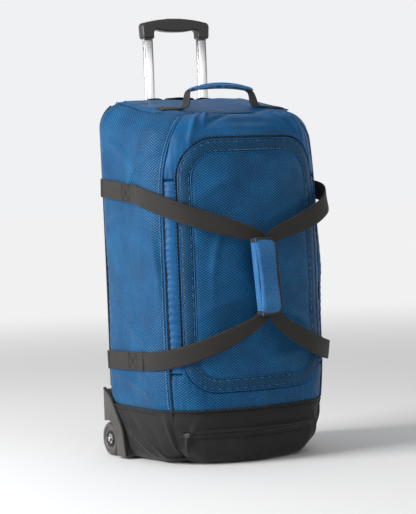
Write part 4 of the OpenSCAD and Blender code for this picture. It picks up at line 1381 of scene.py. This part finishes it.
def make_top_handle():
    y0 = TOP_HANDLE_Y
    base = roof(y0) + 0.0045
    anchors, rows = [], []
    for side, word in SIDES:
        x = np.linspace(0.1445, 0.100, 16)
        z = base - 0.002 * ((x - 0.100) / 0.052) ** 2
        path = np.column_stack([side * x, np.full(16, y0), z])
        anchors.append(strap_mesh("anchor", path, ROOF_NORMAL, 0.028, 0.0024, 0.0002))
        for v in (-0.011, 0.011):
            line = np.column_stack([side * x[1:-1], np.full(14, y0 + v), z[1:-1] + 0.0014 + v * ROOF_RISE])
            rows.append(stitch_mesh("row", line, ROOF_NORMAL))
        line = [(side * 0.1410, y0 + v, z[1] + 0.0014 + v * ROOF_RISE)
                for v in np.linspace(-0.012, 0.012, 9)]
        rows.append(stitch_mesh("row", line, ROOF_NORMAL))
    dress(join("top_anchor_web", anchors), "webbing", "bag", ["top_handle_anchors"])
    dress(join("top_anchor_stitching", rows), "thread", "bag")
    for side, word in SIDES:
        corners = [(0.101, 0, base), (0.064, 0, base - 0.003), (0.091, 0, base + 0.036),
                   (0.062, 0, base + 0.0385)]
        t = np.linspace(0, 0.94, 40)
        path = np.array([bezier(corners, v) for v in t]) * [side, 1, 1] + [0, y0, 0]
        slope = np.gradient(path, axis=0)
        facing = np.cross([0, 1.0, 0], slope)
        facing *= np.sign(facing[:1, 2] + 1e-9) * -1 if facing[0, 2] < 0 else 1
        pinch = np.interp(t, [0, 0.5, 1], [1, 0.92, 0.62])
        cup = np.interp(t, [0, 0.45, 1], [0, -0.06, -0.22])
        leg = strap_mesh("top_leg_web_" + word, path, facing, 0.0330, 0.0024, 0.0003, pinch, cup)
        leg.data.materials.append(MATERIALS["webbing"])
        if side > 0:
            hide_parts("top_handle_legs")
        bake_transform(leg)
    sleeve = np.array([0.071, 0.0026, 0.0115])
    pad = stuffed("top_sleeve_pad", (-sleeve, sleeve), 2.5, (60, 12), 0.0030)

    def on_sleeve(x, across, lift):
        """Points on the sleeve, which arches along the handle and curls down at its edges."""
        arch = 0.0395 + 0.007 * (1 - (x / 0.069) ** 2)
        return np.column_stack([x, y0 + across, base + arch + lift - 26 * across ** 2])
    x, thick, across = points_of(pad).T
    move_points(pad, on_sleeve(x, across, -thick))
    pad.data.flip_normals()
    pad.data.update()
    dress(pad, "heather_blue", "top_handle", ["top_handle_sleeve"])
    line = on_sleeve(np.linspace(-0.068, 0.068, 60), np.full(60, -0.0085), 0.0040)
    dress(stitch_mesh("sleeve_stitching", line, (0, -0.3, 1)), "blue_thread", "top_handle")


# --- wheels and housings ------------------------------------------------------------------------
WHEEL_Y, WHEEL_R = 0.145, 0.036
HUB_TEETH, TOOTH_DEEP = 8, 0.0014
ARCH_R = 0.041                  # clearance cut for the wheel in its housing


def lathe(name, profile, centre, count):
    """A ring or disc turned round the X axis; the profile gives (x, radius) and is closed."""
    angles = 2 * math.pi * np.arange(count + 1)[:count, None] / count
    x, r = np.array(profile).T
    y, z = centre[1] + r * np.cos(angles), centre[2] + r * np.sin(angles)
    verts = np.stack(np.broadcast_arrays(x, y, z), -1)
    rows = len(profile)
    faces = [(k * rows + j, k * rows + (j + 1) % rows, (k + 1) % count * rows + (j + 1) % rows,
              (k + 1) % count * rows + j) for k in range(count) for j in range(rows)]
    thing = mesh_object(name, verts.reshape(-1, 3), faces)
    rework(thing, lambda bm: bmesh.ops.recalc_face_normals(bm, faces=bm.faces))
    return shade(thing, 42)


def make_wheel(side, word):
    x_mid = side * 0.185
    centre = (0, WHEEL_Y, WHEEL_R)

    def at(points):
        return [(x_mid + side * x, r) for x, r in points]
    half = [(0.0014, 0.0360), (0.0018, 0.0355), (0.0026, 0.0355), (0.0030, 0.0360), (0.0070, 0.0357),
            (0.0105, 0.0345), (0.0120, 0.0320), (0.0118, 0.0268)]
    tyre = lathe("tyre_" + word, at([(-x, r) for x, r in half[::-1]] + half), centre, 96)
    dress(tyre, "tyre_rubber", "wheel_" + word, ["wheel_tyre_" + word])
    hub = lathe("hub_" + word, at([(-0.0105, 0.0110), (-0.0105, 0.0268), (0.0108, 0.0268), (0.0112, 0.0262),
                                   (0.0100, 0.0250), (0.0096, 0.0240), (0.0086, 0.0180), (0.0086, 0.0172),
                                   (0.0102, 0.0168), (0.0104, 0.0140), (0.0092, 0.0136), (0.0092, 0.0110)]),
                                   centre, 96)
    dress(hub, "hub_plastic", "wheel_" + word, ["wheel_hub_" + word])
    pieces = []
    for k in range(HUB_TEETH):
        outline = rounded([(-0.0042, 0.0146), (0.0042, 0.0146), (0.0054, 0.0168), (-0.0054, 0.0168)],
                          [0.001] * 4, 3)
        tooth = slab("tooth", outline, "x", 0, TOOTH_DEEP, 0.0004, 2)
        turn = Matrix.Rotation(2 * math.pi * (k + 0.5) / HUB_TEETH, 4, "X")
        x = x_mid + side * 0.0104 - (TOOTH_DEEP if side < 0 else 0)
        tooth.data.transform(Matrix.Translation((x, WHEEL_Y, WHEEL_R)) @ turn)
        pieces.append(tooth)
    ring = lathe("ring", at([(0.0092, 0.0110), (0.0118, 0.0114), (0.0120, 0.0130), (0.0112, 0.0140),
                             (0.0092, 0.0140)]), centre, 64)
    dress(join("hub_ring_" + word, pieces + [ring]), "ring_black", "wheel_" + word)
    bearing = lathe("bearing_" + word, at([(-0.0100, 0.0042), (-0.0100, 0.0109), (0.0098, 0.0109),
                                           (0.0104, 0.0104), (0.0104, 0.0094), (0.0098, 0.0090),
                                           (0.0098, 0.0066), (0.0104, 0.0062), (0.0104, 0.0042)]),
                    centre, 64)
    dress(bearing, "steel", "wheel_" + word, ["wheel_bearings_" + word])
    root, tip = sorted((v.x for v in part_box("axle_" + word)), key=abs)
    head = [(0.0032, 0.0039), (0.0030, 0.0060), (0.0008, 0.0058), (0.0, 0.0046), (0.0002, 0.0026),
            (0.0016, 0.0024), (0.0016, 0.0)]
    bolt = [(root, 0.0), (root, 0.0039)] + [(tip - side * back, r) for back, r in head]
    bolt = lathe("axle_bolt_" + word, bolt, centre, 48)
    dress(bolt, "steel", "bag", ["axle_" + word])


def make_housing(side, word):
    outline = rounded([(0.059, 0.004), (0.161, 0.004), (0.159, 0.146), (0.125, 0.126), (0.073, 0.062)],
                      [0.006, 0.004, 0.006, 0.040, 0.060], 10)
    low, high = sorted((side * 0.160, side * 0.2005))
    body = slab("housing_" + word, outline, "x", low, high, 0.0001, 1)
    angles = np.linspace(0, 2 * math.pi, 72, endpoint=False)
    arch = [(WHEEL_Y + ARCH_R * math.cos(t), WHEEL_R + ARCH_R * math.sin(t)) for t in angles]
    below = [(WHEEL_Y - ARCH_R, -0.01), (0.20, -0.01), (0.20, WHEEL_R), (WHEEL_Y - ARCH_R, WHEEL_R)]
    for shape in (arch, below):
        cut_away(body, shape, "x", *sorted((side * 0.172, side * 0.230)))
    soften(body, 0.0016, 3, 40)
    dress(body, "housing_plastic", "bag", ["wheel_housing_" + word])
    slope = sorted((p for p in outline if p[1] > 0.006 and p[0] < 0.1575), key=lambda p: p[1])
    path = []
    for y, z in slope:
        point = np.array([side * 0.1995, y - 0.0012, z + 0.0016])
        if not path or np.linalg.norm(point - path[-1]) > 0.002:
            path.append(point)
    rim = sweep("housing_welt_" + word, path, (side, 0, 0), round_section(0.0034))
    dress(rim, "black_fabric", "bag")
    ribs = []
    for k in range(4):
        r = 0.0440 + 0.0052 * k
        t = np.linspace(math.radians(100), math.radians(172 - 6 * k), 30)
        y, z = WHEEL_Y + r * np.cos(t), WHEEL_R + r * np.sin(t)
        line = np.column_stack([np.full(30, side * 0.2006), y, z])
        ribs.append(sweep("rib", line, (side, 0, 0), rounded_section(0.0014, 0.0008, 8)))
    dress(join("housing_ribs_" + word, ribs), "housing_plastic", "bag")


# --- the pull handle ----------------------------------------------------------------------------
def make_pull_handle():
    low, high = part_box("grip")
    crown = high.z
    leg_in, leg_out, foot = 0.053, 0.081, low.z
    bend = np.linspace(0, math.radians(84), 10)
    edge = [(leg_out - 0.010 + 0.010 * math.cos(a), crown - 0.018 + 0.010 * math.sin(a)) for a in bend]
    edge += [(0.058, crown - 0.0052), (0.042, crown - 0.0026), (0.022, crown - 0.0007), (0, crown)]
    under = [(0, crown - 0.0290), (0.014, crown - 0.0287), (0.028, crown - 0.0278), (0.040, crown - 0.0254)]
    under += [(leg_in - 0.007 + 0.007 * math.sin(a), crown - 0.0318 + 0.007 * math.cos(a))
              for a in np.linspace(0.15, math.pi / 2, 6)]
    right = under + [(leg_in, foot), (leg_out - 0.0015, foot)] + edge
    outline = right + [(-x, z) for x, z in right[::-1] if x > 1e-6]
    grip = slab("grip_moulding", outline, "y", low.y, high.y, min(0.0065, (high.y - low.y) * 0.24), 6)
    dress(grip, "grip_plastic", "pull_handle", ["grip"])
    low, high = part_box("release_button")
    low.x, high.x, high.z = -0.019, 0.019, high.z - 0.0012
    button = slab("button_cap", rounded(rectangle(low, high), [0.004] * 4, 5), "z", low.z, high.z, 0.0012)
    dress(button, "ring_black", "button", ["release_button"])
    low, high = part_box("trolley_bezel")
    outline = rounded(rectangle(low, high), [0.008] * 4)
    high.z = low.z + 0.0040
    bezel = slab("bezel_plate", outline, "z", low.z, high.z, 0.0001, 1)
    for side, word in SIDES:
        cut_away(bezel, rectangle(*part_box("outer_tube_" + word)), "z", low.z - 0.01, high.z + 0.01)
    soften(bezel, 0.0018, 3, 40)
    dress(bezel, "grip_plastic", "bag", ["trolley_bezel"])
    for side, word in SIDES:
        low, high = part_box("inner_tube_" + word)
        ring = rounded(rectangle(low, high), [0.0055] * 4)
        tube_mesh = slab("bright_tube_" + word, ring, "z", low.z, high.z, 0.0003, 1)
        dress(tube_mesh, "bright_tube", "pull_handle", ["inner_tube_" + word])


def dress_frame():
    """Finishes on the CAD pieces that are shown as they are."""
    finish = {"stiff_board": ("frame_sheet", "base_board"), "grip_plastic": ("tube_foot_bracket",),
              "bright_tube": ("outer_tube_left", "outer_tube_right"),
              "steel": ("housing_screws", "bracket_screws", "push_rod_left", "push_rod_right",
                        "lock_pin_left", "lock_pin_right")}
    for material, nodes in finish.items():
        for node in nodes:
            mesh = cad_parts[node].data
            mesh.materials.clear()
            mesh.materials.append(MATERIALS[material])


# --- stage, light and camera --------------------------------------------------------------------
STUDIO = 0.89                    # brightness of the far floor and the horizon


def make_stage():
    """A wide pale floor that glows towards its rim, so it meets the backdrop with no line."""
    material, tree, shader = new_material("studio_floor")
    place = object_place(tree)
    bump(tree, shader, noise_at(tree, place, 60, 2, 0.5), 0.0003, 0.2)
    reach = add_node(tree, "ShaderNodeVectorMath", operation="LENGTH")
    tree.links.new(place, reach.inputs[0])
    far = faded(tree, reach.outputs["Value"], 0.9, 5.0).outputs["Result"]
    set_shader(tree, shader, Roughness=0.80, Specular_IOR_Level=0.0, Emission_Color=(0.99, 0.99, 1.0),
               Base_Color=mix_colour(tree, far, (0.80, 0.80, 0.80), (0.0, 0.0, 0.0)),
               Emission_Strength=math_node(tree, "MULTIPLY", far, STUDIO))
    rings, turns = np.array([0.0, 0.5, 1, 2, 4, 8, 16, 40]), 64
    a = np.linspace(0, 2 * math.pi, turns, endpoint=False)
    verts = [(r * math.cos(v), r * math.sin(v), 0.0) for r in rings for v in a]
    floor = mesh_object("studio_floor", verts, grid_faces(turns, len(rings) - 1, flip=True, wrap=True))
    floor.data.materials.append(material)


def area_light(name, place, target, size, power, colour=(1, 1, 1)):
    data = bpy.data.lights.new(name, "AREA")
    data.shape, data.size, data.size_y = "RECTANGLE", size[0], size[1]
    data.energy, data.color = power, colour
    lamp = bpy.data.objects.new(name, data)
    bpy.context.scene.collection.objects.link(lamp)
    lamp.location = place
    lamp.visible_camera = False
    lamp.rotation_euler = (Vector(target) - Vector(place)).to_track_quat("-Z", "Y").to_euler()


def make_light():
    bpy.context.scene.view_settings.view_transform = "Standard"
    world = bpy.data.worlds.new("studio")
    bpy.context.scene.world = world
    world.use_nodes = True
    tree = world.node_tree
    sky = tree.nodes["Background"]
    where = add_node(tree, "ShaderNodeTexCoord")
    split = add_node(tree, "ShaderNodeSeparateXYZ")
    tree.links.new(where.outputs["Generated"], split.inputs[0])
    fade = faded(tree, split.outputs["Z"], 0.16, 0.50)
    set_shader(tree, fade, To_Min=STUDIO, To_Max=0.10)
    set_shader(tree, sky, Color=(0.98, 0.985, 1.0), Strength=fade.outputs["Result"])
    area_light("key", (-3.5, 0.2, 1.7), (0, 0, 0.40), (2.0, 2.4), 215)
    area_light("top", (0.2, 0.9, 3.8), (0, 0.2, 0.0), (3.6, 3.6), 46)
    area_light("floor_front", (0.6, -3.4, 3.0), (1.0, -1.6, 0.0), (4.0, 2.0), 40)


def make_camera():
    data = bpy.data.cameras.new("camera")
    data.lens, data.sensor_width = 130, 36
    camera = bpy.data.objects.new("camera", data)
    bpy.context.scene.collection.objects.link(camera)
    camera.location = (-1.87, -3.44, 0.560)
    aim = (Vector((-0.015, 0.008, 0.417)) - camera.location).to_track_quat("-Z", "Y")
    camera.rotation_euler = (aim.to_matrix() @ Matrix.Rotation(math.radians(-2.3), 3, "Z")).to_euler()
    bpy.context.scene.camera = camera


make_panels()
make_top()
make_underside()
make_lining()
make_lid()
make_piping()
make_zips()
make_sliders()
make_straps()
make_wrap()
make_top_handle()
for SIDE, WORD in SIDES:
    make_wheel(SIDE, WORD)
    make_housing(SIDE, WORD)
make_pull_handle()
dress_frame()
make_stage()
make_light()
make_camera()
